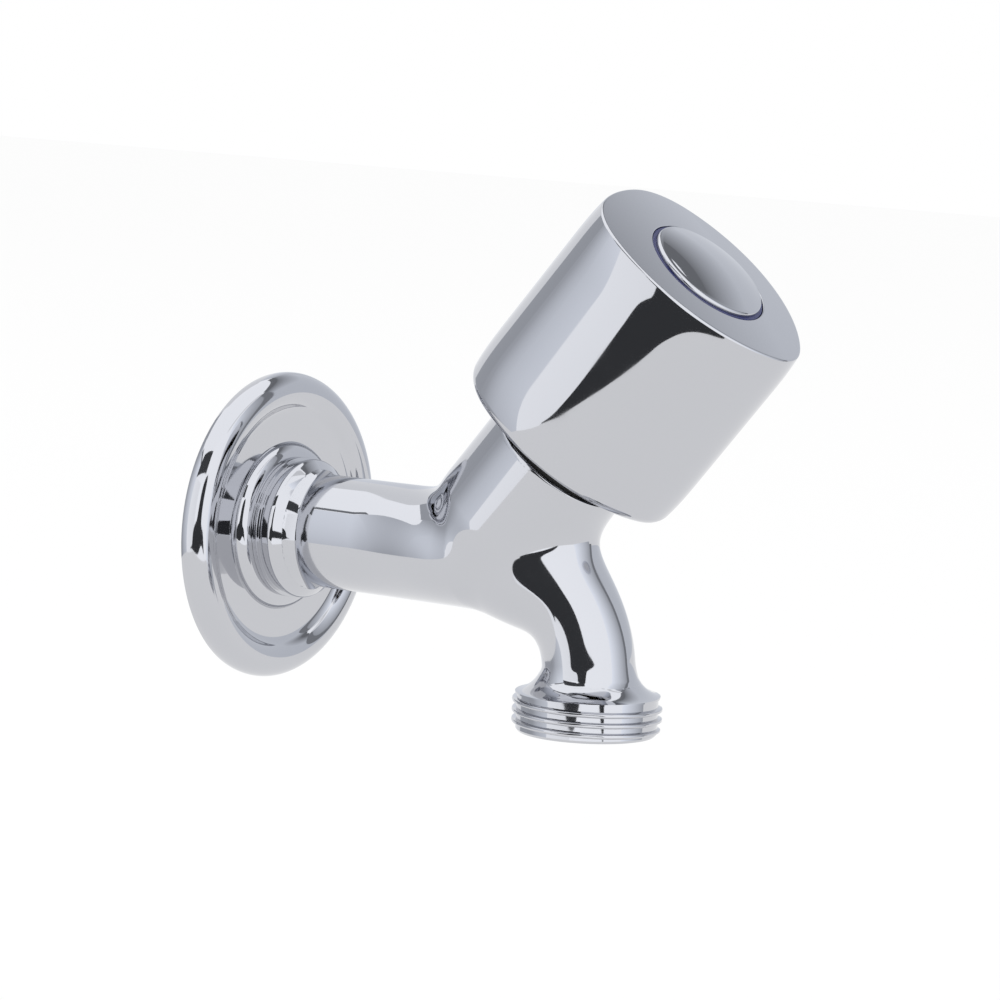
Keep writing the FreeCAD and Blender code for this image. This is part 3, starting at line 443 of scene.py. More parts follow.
def softSpline(shares, values):
    # a cubic through the values, level at both ends
    count = len(shares)
    steps = np.diff(shares)
    rises = np.diff(values) / steps
    matrix, right = np.eye(count), np.zeros(count)
    for i in range(1, count - 1):
        matrix[i, i - 1:i + 2] = steps[i], 2 * (steps[i - 1] + steps[i]), steps[i - 1]
        right[i] = 3 * (steps[i] * rises[i - 1] + steps[i - 1] * rises[i])
    slopes = np.linalg.solve(matrix, right)

    def at(share):
        share = np.clip(share, shares[0], shares[-1])
        i = np.clip(np.searchsorted(shares, share, side="right") - 1, 0, count - 2)
        x = (share - shares[i]) / steps[i]
        return (values[i] * (1 + 2 * x) * (1 - x) ** 2 + slopes[i] * steps[i] * x * (1 - x) ** 2
                + values[i + 1] * x * x * (3 - 2 * x) + slopes[i + 1] * steps[i] * x * x * (x - 1))

    return at


def ease(share):
    return share ** 2 * (3 - 2 * share)


def makeCastingField(sizes):
    tubeEnd = -crossing[1] + sizes["tubePastAxis"]
    corners = np.array([(-tubeEnd, 0), (-tubeEnd - sizes["spoutLead"], 0),
                        (-outletReach, -sizes["spoutFall"]), (-outletReach, -sizes["spoutFoot"])])
    start = np.array([-sizes["lineStart"], 0])
    end = np.array([-outletReach, -sizes["lineEnd"]])
    spoutRadius = softSpline(np.array(sizes["spoutShares"], float), np.array(sizes["spoutRadii"]) * mm)
    step = sizes["collarEdge"] - sizes["tubeRadius"]
    sweepRadius = (sizes["collarSweep"] ** 2 + step ** 2) / (2 * step)
    sweepEnd = sizes["collarEnd"] + sizes["collarSweep"]

    def centreline(t):
        # 0 to 1 along the tube, 1 to 2 round the spout, 2 to 3 straight down; place, slope and bend
        t = t[:, None]
        s = np.clip(t - 1, 0, 1)
        r = 1 - s
        bent = r ** 3 * corners[0] + 3 * s * r * r * corners[1] + 3 * s * s * r * corners[2] + s ** 3 * corners[3]
        legs = np.diff(corners, axis=0)
        slope = 3 * (r * r * legs[0] + 2 * s * r * legs[1] + s * s * legs[2])
        bend = 6 * (r * (legs[1] - legs[0]) + s * (legs[2] - legs[1]))
        place = np.where(t < 1, start + t * (corners[0] - start), np.where(t > 2, corners[3]
                         + (t - 2) * (end - corners[3]), bent))
        slope = np.where(t < 1, corners[0] - start, np.where(t > 2, end - corners[3], slope))
        bend = np.where((t < 1) | (t > 2), 0, bend)
        return place, slope, bend

    tries = np.linspace(0, 3, sizes["tries"])
    tryPlaces = centreline(tries)[0]

    def nearest(points, guess=None):
        # the place along the centreline that is closest to each point
        flat = points[:, 1:]
        if guess is None:
            guess = np.empty(len(flat))
            for first in range(0, len(flat), sizes["batch"]):
                batch = slice(first, first + sizes["batch"])
                guess[batch] = tries[((flat[batch, None] - tryPlaces) ** 2).sum(2).argmin(1)]
        t = guess
        for _ in range(sizes["nearestRounds"]):
            place, slope, bend = centreline(t)
            away = flat - place
            rise = (slope ** 2).sum(1) - (away * bend).sum(1)
            t = np.clip(t + (away * slope).sum(1) / np.maximum(rise, 1e-7), t - 0.05, t + 0.05)
            t = np.clip(t, 0, 3)
        return t

    def pipeRadius(t, place):
        # wider in a round sweep at the collar and above the outlet
        radius = np.where(t < 1, sizes["tubeRadius"], spoutRadius(t - 1))
        back = np.clip(sweepEnd + place[:, 0], 0, sweepRadius * sizes["sweepLimit"])
        radius = radius + sweepRadius - np.sqrt(sweepRadius ** 2 - back ** 2)
        flare = sizes["flareRadius"]
        down = np.clip(-sizes["flareTop"] - place[:, 1], 0, flare * sizes["sweepLimit"])
        return radius + flare - np.sqrt(flare ** 2 - down ** 2)

    def field(points, guess):
        # how far each point lies outside the casting
        t = nearest(points, guess)
        place = centreline(t)[0]
        wider = np.clip((-points[:, 1] - sizes["swellFrom"]) / (sizes["swellTo"] - sizes["swellFrom"]), 0, 1)
        fade = np.clip((t - 1) / sizes["swellFade"], 0, 1)
        wider = 1 + sizes["swell"] * ease(wider) * (1 - ease(fade))
        offLine = np.linalg.norm(points[:, 1:] - place, axis=1)
        pipe = np.hypot(points[:, 0] / wider, offLine) - pipeRadius(t, place)
        away = points - crossing
        station = away @ upAxis
        offAxis = np.linalg.norm(away - station[:, None] * upAxis, axis=1)
        neck = np.hypot(offAxis, np.minimum(station - sizes["neckBall"], 0)) - sizes["neckRadius"]
        forward = np.clip((-points[:, 1] - sizes["blendFrom"]) / (sizes["blendTo"] - sizes["blendFrom"]), 0, 1)
        width = sizes["blendBack"] + (sizes["blendFront"] - sizes["blendBack"]) * ease(forward)
        aside = np.clip(np.abs(points[:, 0]) / sizes["tubeRadius"], 0, 1) ** 2
        width = width + (sizes["blendSide"] - width) * aside
        near = np.clip(1 - np.abs(pipe - neck) / width, 0, 1)
        return np.minimum(pipe, neck) - near ** 3 * width / 6, t

    def slopeOf(points, guess):
        step = 1e-6
        sides = []
        for i in range(3):
            shift = np.zeros(3)
            shift[i] = step
            sides.append((field(points + shift, guess)[0] - field(points - shift, guess)[0]) / (2 * step))
        return np.stack(sides, 1)

    def settle(points):
        # draws points onto the surface, in short steps where the slope is weak
        guess = nearest(points)
        for _ in range(sizes["settleRounds"]):
            depth, guess = field(points, guess)
            slope = slopeOf(points, guess)
            points = points - (depth / np.maximum((slope ** 2).sum(1), sizes["weakSlope"]))[:, None] * slope
        return points

    def pipeRow(t, columns):
        # one ring of the pipe alone
        place, slope, _ = centreline(np.array([t]))
        radius = pipeRadius(np.array([t]), place)[0]
        out = np.array([-slope[0, 1], slope[0, 0]]) / np.linalg.norm(slope[0])
        angles = roundAngles(columns)
        middle = np.array([0, *place[0]])
        return middle + radius * (np.cos(angles)[:, None] * sideAxis + np.sin(angles)[:, None] * [0, *out])

    return {"settle": settle, "nearest": nearest, "pipeRow": pipeRow, "slopeOf": slopeOf}


def roughCasting(sizes, casting):
    # the pipe and the neck as plain closed forms, joined by remeshing them together
    shell = newShell()
    columns = sizes["roughColumns"]
    along = np.linspace(0.0, 2.9, sizes["roughRows"])
    pipe = addRows(shell, np.stack([casting["pipeRow"](t, columns) for t in along]))
    angles = roundAngles(columns)
    radius, ball = sizes["neckRadius"], sizes["neckBall"]
    profile = [(radius * math.sin(a), ball - radius * math.cos(a)) for a in np.linspace(0.1, math.pi / 2, 12)]
    profile.append((radius, sizes["neckCut"] + sizes["roughSpare"]))
    neck = addRows(shell, aroundCircle(onHeadwork, angles, profile))
    for row in (pipe[0], pipe[-1], neck[0], neck[-1]):
        closeTip(shell, row)
    rough = shellObject("roughCasting", shell, finishes["chrome"])
    remesh = rough.modifiers.new("join", "REMESH")
    remesh.mode = "VOXEL"
    remesh.voxel_size = sizes["voxel"]
    return finishedMesh(rough)


def smoothCasting(sizes, casting):
    mesh = roughCasting(sizes, casting)
    work = bmesh.new()
    work.from_mesh(mesh)

    def settleAll(relax):
        for _ in range(relax):
            bmesh.ops.smooth_vert(work, verts=work.verts, factor=0.5, use_axis_x=True, use_axis_y=True,
                                  use_axis_z=True)
        points = casting["settle"](np.array([vert.co for vert in work.verts], float))
        for vert, point in zip(work.verts, points):
            vert.co = point

    settleAll(3)
    bmesh.ops.subdivide_edges(work, edges=work.edges, cuts=1, use_grid_fill=True)
    settleAll(2)
    settleAll(1)
    cuts = (((0, -sizes["collarEnd"], 0), (0, 1, 0)),
            ((0, 0, -sizes["flareCut"]), (0, 0, -1)),
            (tuple(crossing + sizes["neckCut"] * upAxis), tuple(upAxis)))
    for place, outward in cuts:
        parts = list(work.verts) + list(work.edges) + list(work.faces)
        bmesh.ops.bisect_plane(work, geom=parts, dist=1e-7, plane_co=place, plane_no=outward, clear_outer=True)
    work.verts.ensure_lookup_table()
    points = np.array([vert.co for vert in work.verts], float)
    faces = [tuple(vert.index for vert in face.verts) for face in work.faces]
    rims = [[vert.index for vert in work.verts if vert.is_boundary
             and abs((vert.co - Vector(place)).dot(Vector(outward))) < 1e-6] for place, outward in cuts]
    work.free()
    normals = casting["slopeOf"](points, casting["nearest"](points))
    normals /= np.linalg.norm(normals, axis=1)[:, None]
    return points, normals, faces, rims


bodySizes = {
    "ringFace": 5.6 * mm, "ringFoot": 12.0 * mm, "ringRound": 1.3 * mm,
    "ringCrest": (12.6 * mm, 7.8 * mm), "ringShoulder": (12.2 * mm, 8.8 * mm),
    "lipRadius": 12.7 * mm, "collarBack": 4.6 * mm,
    "reliefRadius": 9.6 * mm, "reliefEnd": 0.5 * mm,
    "inletRoot": 9.32 * mm, "inletEnd": 13 * mm, "inletChamfer": 1.0 * mm,
    "inletBore": 5.5 * mm, "inletBoreEnd": 40 * mm,
    "flareTo": (12.75 * mm, -22.5 * mm), "shoulderEnd": -22.75 * mm,
    "outletRoot": 12.45 * mm, "outletEnd": -29.5 * mm, "outletChamfer": 0.5 * mm, "outletFaceRadius": 12.1 * mm,
    "mouthRadius": 8.4 * mm, "mouthTop": -22.9 * mm, "mouthTaper": 2 * mm,
    "outletBore": 5.6 * mm, "outletBoreEnd": -13 * mm,
    "neckTop": 25 * mm, "rimRound": 0.5 * mm, "neckThread": 10.56 * mm, "neckThreadEnd": 15 * mm,
    "chamberRadius": 9.3 * mm, "chamberFloor": 2.5 * mm,
    "edge": 0.15 * mm, "overlap": 0.01 * mm,
}


def softCorners(profile, radius):
    # every inner corner of a profile cut back to a small three-point round
    out = [profile[0]]
    for before, corner, after in zip(profile, profile[1:], profile[2:]):
        legs = [np.subtract(before, corner), np.subtract(after, corner)]
        lengths = [np.linalg.norm(leg) for leg in legs]
        turn = math.acos(np.clip(-np.dot(*legs) / (lengths[0] * lengths[1]), -1, 1))
        if turn < math.radians(35) or min(lengths) < 2.5 * radius:
            out.append(corner)
            continue
        first, last = [np.add(corner, leg / length * radius) for leg, length in zip(legs, lengths)]
        middle = (first + last) / 4 + np.array(corner) / 2
        out += [tuple(first), tuple(middle), tuple(last)]
    return out + [profile[-1]]


def bodyShell(sizes, castingData, columns=256):
    points, normals, faces, rims = castingData
    shell = newShell()
    base = addPoints(shell, points, normals)
    shell["faces"] += faces
    angles = roundAngles(columns)

    def addEnd(place, rim, profile, tip):
        rows = addRows(shell, aroundCircle(place, angles, profile))
        middle = place(0.0, 0.0, profile[0][1])
        across, along = place(1.0, 0.0, profile[0][1]) - middle, place(0.0, 1.0, profile[0][1]) - middle
        away = points[rim] - middle
        zipRows(shell, base[rim], np.arctan2(away @ along, away @ across) % (2 * math.pi), rows[0], angles)
        closeTip(shell, rows[-1], place(0.0, 0.0, tip))

    cut = castingSizes["collarEnd"]
    shoulder, crest = sizes["ringShoulder"], sizes["ringCrest"]
    ring = [shoulder, *arcPoints(shoulder, crest, sizes["ringRound"], side=1, steps=10),
            (sizes["ringFoot"], sizes["ringFace"])]
    inlet = [(castingSizes["collarEdge"], cut - sizes["overlap"]), *ring,
             (sizes["lipRadius"], sizes["ringFace"]), (sizes["lipRadius"], sizes["collarBack"]),
             (sizes["reliefRadius"], sizes["collarBack"]), (sizes["reliefRadius"], sizes["reliefEnd"]),
             (sizes["inletRoot"], sizes["reliefEnd"]),
             (sizes["inletRoot"], sizes["inletChamfer"] - sizes["inletEnd"]),
             (sizes["inletRoot"] - sizes["inletChamfer"], -sizes["inletEnd"]),
             (sizes["inletBore"], -sizes["inletEnd"]), (sizes["inletBore"], sizes["inletBoreEnd"])]
    addEnd(onInlet, rims[0], softCorners(inlet, sizes["edge"]), sizes["inletBoreEnd"])

    flareStart = -castingSizes["flareCut"]
    down = castingSizes["flareCut"] - castingSizes["flareTop"]
    spoutEnd = castingSizes["spoutRadii"][-1] * mm
    radius = castingSizes["flareRadius"]
    first = (spoutEnd + radius - math.sqrt(radius ** 2 - down ** 2), flareStart)
    outlet = [(first[0], first[1] - sizes["overlap"]),
              *arcPoints(first, sizes["flareTo"], radius, side=-1, steps=14),
              (sizes["flareTo"][0], sizes["shoulderEnd"]),
              (sizes["outletRoot"], sizes["shoulderEnd"]),
              (sizes["outletRoot"], sizes["outletEnd"] + sizes["outletChamfer"]),
              (sizes["outletFaceRadius"], sizes["outletEnd"]), (sizes["mouthRadius"], sizes["outletEnd"]),
              (sizes["mouthRadius"], sizes["mouthTop"]),
              (sizes["outletBore"], sizes["mouthTop"] + sizes["mouthTaper"]),
              (sizes["outletBore"], sizes["outletBoreEnd"])]
    addEnd(onOutlet, rims[1], softCorners(outlet, sizes["edge"]), sizes["outletBoreEnd"])

    neckRadius, top, rim = castingSizes["neckRadius"], sizes["neckTop"], sizes["rimRound"]
    neck = [(neckRadius, castingSizes["neckCut"] + sizes["overlap"]), (neckRadius, top - rim),
            *circlePoints((neckRadius - rim, top - rim), rim, np.linspace(0, math.pi / 2, 7)[1:]),
            (sizes["neckThread"], top), (sizes["neckThread"], sizes["neckThreadEnd"]),
            (sizes["chamberRadius"], sizes["neckThreadEnd"]), (sizes["chamberRadius"], sizes["chamberFloor"])]
    addEnd(onHeadwork, rims[2], neck, sizes["chamberFloor"])
    return shell


casting = makeCastingField(castingSizes)
castingData = smoothCasting(castingSizes, casting)
print("casting settled:", len(castingData[0]), "points")
tapBody = shellObject("tapBody", bodyShell(bodySizes, castingData), finishes["chrome"], sharpAngle=25)
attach(tapBody, "housing")
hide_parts("tap_body")
print("tap body made:", len(tapBody.data.polygons), "faces")

outletThread = {"Root Radius": bodySizes["outletRoot"], "Depth": 0.76 * mm, "Pitch": 1.814 * mm, "Turns": 3.2,
                "Fade": 0.3}
inletThread = {"Root Radius": bodySizes["inletRoot"], "Depth": 1.14 * mm, "Pitch": 1.814 * mm, "Turns": 6.6,
               "Fade": 0.4}
threadStarts = {"outlet": bodySizes["outletEnd"] + 0.75 * mm, "inlet": 12.3 * mm}


def addThread(name, values, origin, along, axis):
    start = bpy.data.meshes.new(name + "Start")
    mesh = grow(name, ridgeNodes, start, {**values, "Material": finishes["chrome"]})
    placeMesh(mesh, origin, sideAxis, along, axis)
    smoothMesh(mesh, sharpAngle=40)
    thread = link(name, mesh, finishes["chrome"])
    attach(thread, "housing")


addThread("hoseThread", outletThread, (0, -outletReach, threadStarts["outlet"]), (0, 1, 0), (0, 0, 1))
addThread("wallThread", inletThread, (0, threadStarts["inlet"], 0), (0, 0, 1), (0, -1, 0))
print("threads made")


# The wall flange: a pressed sheet with a rolled bead, a flat dish and a raised hub

flangeSizes = {
    "radius": 27.8 * mm, "bead": 3.4 * mm, "beadCentre": 1.1 * mm,
    "dish": 2.6 * mm, "dishRound": 2.2 * mm,
    "hub": 15.3 * mm, "hubTop": 12.95 * mm, "hubSweep": 2.6 * mm, "hubFace": 4.6 * mm,
    "sheet": 0.9 * mm, "hole": 10.83 * mm,
}


def flangeProfile(sizes):
    bead, dishRound, sheet = sizes["bead"], sizes["dishRound"], sizes["sheet"]
    reach, level = sizes["radius"] - bead, sizes["beadCentre"]
    inner = bead - sheet
    insideDish, insideHub = sizes["dish"] - sheet, sizes["hubFace"] - sheet

    def beadAngle(radius, station, side=1):
        # where a circle about the bead's centre passes a station, on its outer side or its inner
        return math.atan2(station - level, side * math.sqrt(radius ** 2 - (station - level) ** 2))

    # a round of its own between the bead and the dish, tangent to both
    lift = sizes["dish"] + dishRound - level
    middle = reach - math.sqrt((bead + dishRound) ** 2 - lift ** 2)
    meet = math.atan2(lift, middle - reach)
    profile = circlePoints((reach, level), bead, np.linspace(beadAngle(bead, 0), meet, 40))
    profile += circlePoints((middle, sizes["dish"] + dishRound), dishRound,
                            np.linspace(meet - math.pi, -math.pi / 2, 14)[1:])
    profile += [(sizes["hub"] + share * (middle - sizes["hub"]), sizes["dish"]) for share in (0.66, 0.33, 0)]
    profile += arcPoints(profile[-1], (sizes["hubTop"], sizes["hubFace"]), sizes["hubSweep"], side=-1, steps=16)
    profile += [(sizes["hole"], sizes["hubFace"]), (sizes["hole"], insideHub),
                (sizes["hubTop"] - sheet, insideHub), (sizes["hub"] - sheet, insideDish)]
    inside = np.linspace(beadAngle(inner, insideDish, -1), beadAngle(inner, 0), 20)
    return profile + circlePoints((reach, level), inner, inside)


def addTurned(name, profile, slot, body, node, onAxis, segments=256):
    mesh = turnedMesh(name, profile, finishes[slot], segments)
    placeMesh(mesh, *onAxis)
    smoothMesh(mesh, sharpAngle=30)
    piece = link(name, mesh, finishes[slot])
    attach(piece, body)
    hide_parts(node)


headworkPlace = (crossing, sideAxis, wallAxis, upAxis)
inletPlace = ((0, 0, 0), sideAxis, (0, 0, 1), (0, -1, 0))
addTurned("wallFlange", flangeProfile(flangeSizes), "chrome", "housing", "wall_flange", inletPlace, segments=320)
print("wall flange made")


# The handle: a soft three-lobed shell, a row of its section at each inset and height

handleSizes = {
    "bottom": 27.0 * mm, "top": 68.57 * mm, "crownRadius": 260 * mm,
    "nose": (10.5 * mm, 10.9 * mm), "cheek": (13.3 * mm, 7.8 * mm, 3.7 * mm),
    "side": 25.9 * mm, "back": 32.0 * mm, "extra": 0.3 * mm,
    "turn": math.radians(99.6), "softening": math.radians(4), "columns": 360, "finer": 4,
    "lean": 0.38 * mm,  # the wall draws in a little towards its lip and its foot
    "leanHeight": 9.0 * mm,
    "wall": 2.8 * mm, "foot": 2.5 * mm, "lip": 0.5 * mm,
    "recess": 11.6 * mm, "recessFloor": 63.57 * mm, "recessEdge": 0.2 * mm,
    "cavityTop": 60.97 * mm, "screwHole": 2.9 * mm, "bushHole": 5.85 * mm, "bushTop": 57.8 * mm,
    "boss": 8.0 * mm, "bossBottom": 46.6 * mm,
}


def sectionSupport(sizes):
    # the section as its reach in every direction, with the curvature eased from arc to arc
    nose = np.array([-sizes["nose"][1], 0])
    cheeks = [np.array([sizes["cheek"][1], side * sizes["cheek"][2]]) for side in (-1, 1)]
    lobes = [(nose, sizes["nose"][0]), (cheeks[0], sizes["cheek"][0]), (cheeks[1], sizes["cheek"][0])]
    wraps = (sizes["side"], sizes["back"], sizes["side"])
    arcs = []
    for i, wrap in enumerate(wraps):
        (first, firstRadius), (last, lastRadius) = lobes[i], lobes[(i + 1) % 3]
        run = last - first
        length = np.linalg.norm(run)
        share = (length ** 2 + (wrap - firstRadius) ** 2 - (wrap - lastRadius) ** 2) / (2 * length)
        ahead = run / length
        left = np.array([-ahead[1], ahead[0]])
        centre = first + ahead * share + left * math.sqrt((wrap - firstRadius) ** 2 - share ** 2)
        arcs.append((centre, wrap, [math.atan2(*(spot - centre)[::-1]) for spot in (first, last)]))
    angles = roundAngles(sizes["columns"] * sizes["finer"])
    support = np.zeros_like(angles)
    for i, (lobe, radius) in enumerate(lobes):
        centre, wrap, (start, end) = arcs[i]
        before = arcs[i - 1][2][1]
        inLobe = (angles - before) % (2 * math.pi) <= (start - before) % (2 * math.pi)
        inWrap = (angles - start) % (2 * math.pi) <= (end - start) % (2 * math.pi)
        direction = np.stack([np.cos(angles), np.sin(angles)], 1)
        support = np.where(inLobe, direction @ lobe + radius, support)
        support = np.where(inWrap, direction @ centre + wrap, support)
    waves = np.fft.rfft(support)
    waves *= np.exp(-(np.arange(len(waves)) * sizes["softening"]) ** 2 / 2)
    turnedBy = np.exp(-1j * np.arange(len(waves)) * sizes["turn"])
    reach = np.fft.irfft(waves * turnedBy, len(angles))
    slope = np.fft.irfft(waves * turnedBy * 1j * np.arange(len(waves)), len(angles))
    return reach[::sizes["finer"]], slope[::sizes["finer"]]


def makeHandle(sizes):
    reach, slope = sectionSupport(sizes)
    reach = reach + sizes["extra"]
    angles = roundAngles(sizes["columns"])
    out = np.stack([np.cos(angles), np.sin(angles)], 1)
    along = np.stack([-np.sin(angles), np.cos(angles)], 1)
    crownRadius = sizes["crownRadius"]
    shell = newShell()
    rows, normals = [], []

    def addRow(flat, station, normal=None):
        station = np.broadcast_to(station, len(flat))
        rows.append(onHeadwork(flat[:, 0], flat[:, 1], station))
        if normal is None:
            normals.append(np.zeros((len(flat), 3)))
            return
        normals.append(normal[:, :1] * sideAxis + normal[:, 1:2] * wallAxis + normal[:, 2:] * upAxis)

    def inset(depth):
        return (reach - depth)[:, None] * out + slope[:, None] * along

    def crownStation(flat):
        return sizes["top"] - crownRadius + np.sqrt(crownRadius ** 2 - (flat ** 2).sum(1))

    def leaning(angle):
        return np.concatenate([out * np.cos(angle), np.full((len(out), 1), np.sin(angle))], 1)

    def crownNormal(flat):
        level = np.sqrt(crownRadius ** 2 - (flat ** 2).sum(1))
        return np.concatenate([flat, level[:, None]], 1) / crownRadius

    foot, lip, wall = sizes["foot"], sizes["lip"], sizes["wall"]
    lean, rise = sizes["lean"], sizes["leanHeight"]
    tilt = math.atan(3 * lean / rise)
    addRow(inset(wall), sizes["bottom"])
    back = lean + foot * math.cos(tilt)
    for angle in np.linspace(-math.pi / 2, -tilt, 13):
        height = sizes["bottom"] + foot + foot * math.sin(angle)
        addRow(inset(back - foot * math.cos(angle)), height, leaning(angle))
    low = sizes["bottom"] + foot - foot * math.sin(tilt) + rise
    for share in np.linspace(1, 0, 19)[1:]:
        addRow(inset(lean * share ** 3), low - rise * share, leaning(-math.atan(3 * lean * share ** 2 / rise)))
    back = lean + lip * math.cos(tilt)
    edge = inset(back)
    lipCentre = crownStation(edge) - lip
    high = lipCentre + lip * math.sin(tilt) - rise
    for share in np.linspace(0, 1, 6)[1:]:
        addRow(inset(0), low + share * (high - low), leaning(0))
    for share in np.linspace(0, 1, 19)[1:-1]:
        addRow(inset(lean * share ** 3), high + rise * share, leaning(math.atan(3 * lean * share ** 2 / rise)))
    for angle in np.linspace(tilt, math.pi / 2, 9):
        blend = (angle - tilt) / (math.pi / 2 - tilt)
        normal = leaning(angle) * (1 - blend ** 3) + crownNormal(edge) * blend ** 3
        normal /= np.linalg.norm(normal, axis=1)[:, None]
        addRow(inset(back - lip * math.cos(angle)), lipCentre + lip * math.sin(angle), normal)
    bevel = sizes["recessEdge"]
    circle = (sizes["recess"] + bevel) * out
    for share in np.linspace(0, 1, 9)[1:]:
        flat = edge + share * (circle - edge)
        addRow(flat, crownStation(flat), crownNormal(flat))
    for angle in np.linspace(0, math.pi / 2, 5)[1:]:
        flat = (sizes["recess"] + bevel - bevel * math.sin(angle)) * out
        station = crownStation(circle) - bevel + bevel * math.cos(angle)
        normal = np.concatenate([-out * math.sin(angle), np.full((len(out), 1), math.cos(angle))], 1)
        addRow(flat, station, normal)
    for radius, station in ((sizes["recess"], sizes["recessFloor"]), (sizes["screwHole"], sizes["recessFloor"]),
                            (sizes["screwHole"], sizes["bushTop"]), (sizes["bushHole"], sizes["bushTop"]),
                            (sizes["bushHole"], sizes["bossBottom"]), (sizes["boss"], sizes["bossBottom"]),
                            (sizes["boss"], sizes["cavityTop"])):
        addRow(radius * out, station)
    addRow(inset(wall), sizes["cavityTop"])
    made = addRows(shell, np.stack(rows), np.stack(normals))
    bridge(shell, made[-1], made[0])
    return shell


handleShell = shellObject("handleShell", makeHandle(handleSizes), finishes["handle_chrome"], sharpAngle=25)
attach(handleShell, "rotor")
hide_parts("handle")
print("handle made:", len(handleShell.data.polygons), "faces")


# The index ring and the domed button in the handle's top

indexSizes = {
    "ringRadius": 11.5 * mm, "ringInside": 10.5 * mm, "bottom": 63.57 * mm, "ringTop": 68.22 * mm,
    "edge": 0.12 * mm,
    "buttonRadius": 10.4 * mm, "buttonRim": 10.85 * mm, "handleTop": 68.57 * mm, "bevel": 0.5 * mm,
    "crown": 1.4 * mm, "wall": 1.2 * mm, "gap": 0.05 * mm, "middle": 0.02 * mm,
}


def ringProfile(sizes):
    inside, outside, edge = sizes["ringInside"], sizes["ringRadius"], sizes["edge"]
    return [(inside, sizes["bottom"]), (outside, sizes["bottom"]), (outside, sizes["ringTop"] - edge),
            (outside - edge, sizes["ringTop"]), (inside + edge, sizes["ringTop"]),
            (inside, sizes["ringTop"] - edge)]


def buttonProfile(sizes):
    outside, wall = sizes["buttonRadius"], sizes["wall"]
    face = sizes["buttonRim"] - sizes["bevel"]
    under = sizes["ringTop"] + sizes["gap"]
    edge = sizes["handleTop"] + sizes["bevel"]
    dome = (face ** 2 + sizes["crown"] ** 2) / (2 * sizes["crown"])
    small = sizes["middle"]  # the tip's own tiny circle, which the tree merges to a point
    return [(small, sizes["handleTop"] - wall), (outside - wall, sizes["handleTop"] - wall),
            (outside - wall, sizes["bottom"]), (outside, sizes["bottom"]), (outside, under),
            (sizes["buttonRim"], under), (sizes["buttonRim"], sizes["handleTop"]),
            *circlePoints((face, sizes["handleTop"]), sizes["bevel"], np.linspace(0, math.pi / 2, 8)[1:]),
            *arcPoints((face, edge), (small, edge + sizes["crown"]), dome, side=-1, steps=24)]


addTurned("indexRing", ringProfile(indexSizes), "blue_plastic", "rotor", "index_ring", headworkPlace)
addTurned("indexButton", buttonProfile(indexSizes), "button_chrome", "rotor", "index_button", headworkPlace)
print("index ring and button made")


# The white ground, the lights and the cards that the chrome mirrors

stageSizes = {
    "floor": -0.14, "floorSide": 6, "shadowShare": 0.3, "worldStrength": 0.95,
    "centre": (0, -0.03), "ring": 0.5,  # the ring of cards stands round this point
    "overhead": 0.62, "overheadSide": 4, "overheadGlow": 1.35,
    "cameraPlace": (-0.7347, -0.5250, 0.1169), "cameraRight": (0.5477, -0.8355, 0.0439),
    "cameraUp": (0.0781, 0.1033, 0.9916), "lens": 180, "sensor": 36, "clip": (0.05, 20),
}
coolTint = (0.965, 1.0, 1.07)
plainTint = (0.99, 1.0, 1.02)
lamps = {"overheadLamp": ((0.1, -0.3, 1.2), 2.0, 1.2),  # place, side and power
         "sideLamp": ((-0.9, 0.2, 0.7), 1.2, 0.4)}

# Ring cards: from and to in degrees round from the room side towards the camera's side, lowest and highest
# elevation in degrees, then the brightness at both lower corners, or at all four, and the tint
ringCards = {
    "frontSoftbox": (0, 80, -16, 48, (1.35, 1.38), plainTint),
    "frontFade": (-41, 0, -16, 48, (0.50, 1.30), coolTint),
    "frontSeam": (-48, -41, -8, 48, (0.28, 0.28), coolTint),
    "rightWall": (-115, -48, -3, 28, (0.80, 0.76), coolTint),
    "rightWallFade": (-115, -48, 28, 45, (0.84, 0.74, 0.24, 0.34), coolTint),
    "rightWallTop": (-115, -48, 45, 58, (0.22, 0.22), coolTint),
    "backRightFade": (-130, -115, -16, 46, (0.90, 0.65), coolTint),
    "backRight": (-166, -130, -16, 50, (0.97, 0.97), plainTint),
    "back": (166, 194, -16, 40, (0.50, 0.50), coolTint),
    "backLeftDeep": (153, 166, -16, 38, (0.50, 0.46, 0.60, 0.80), coolTint),
    "backLeftFade": (140, 153, -16, 38, (0.72, 0.50, 0.80, 1.00), coolTint),
    "backLeft": (121, 140, -16, 38, (0.90, 0.70, 1.05, 1.22), coolTint),
    "backLeftGap": (121, 150, 38, 41, (0.25, 0.25), coolTint),
    "leftSoftbox": (80, 121, -16, 29, (1.20, 1.28), plainTint),
    "leftGap": (44, 121, 30, 46, (0.07, 0.07), coolTint),
    "frontUpper": (-45, 25, 48, 63, (0.9, 0.9), plainTint),
}


def squareCorners(side, height):
    half = side / 2
    return [(x, y, height) for x, y in ((-half, -half), (half, -half), (half, half), (-half, half))]


def ringPlace(azimuth, distance):
    angle = math.radians(azimuth)
    x, y = stageSizes["centre"]
    return x - math.sin(angle) * distance, y - math.cos(angle) * distance


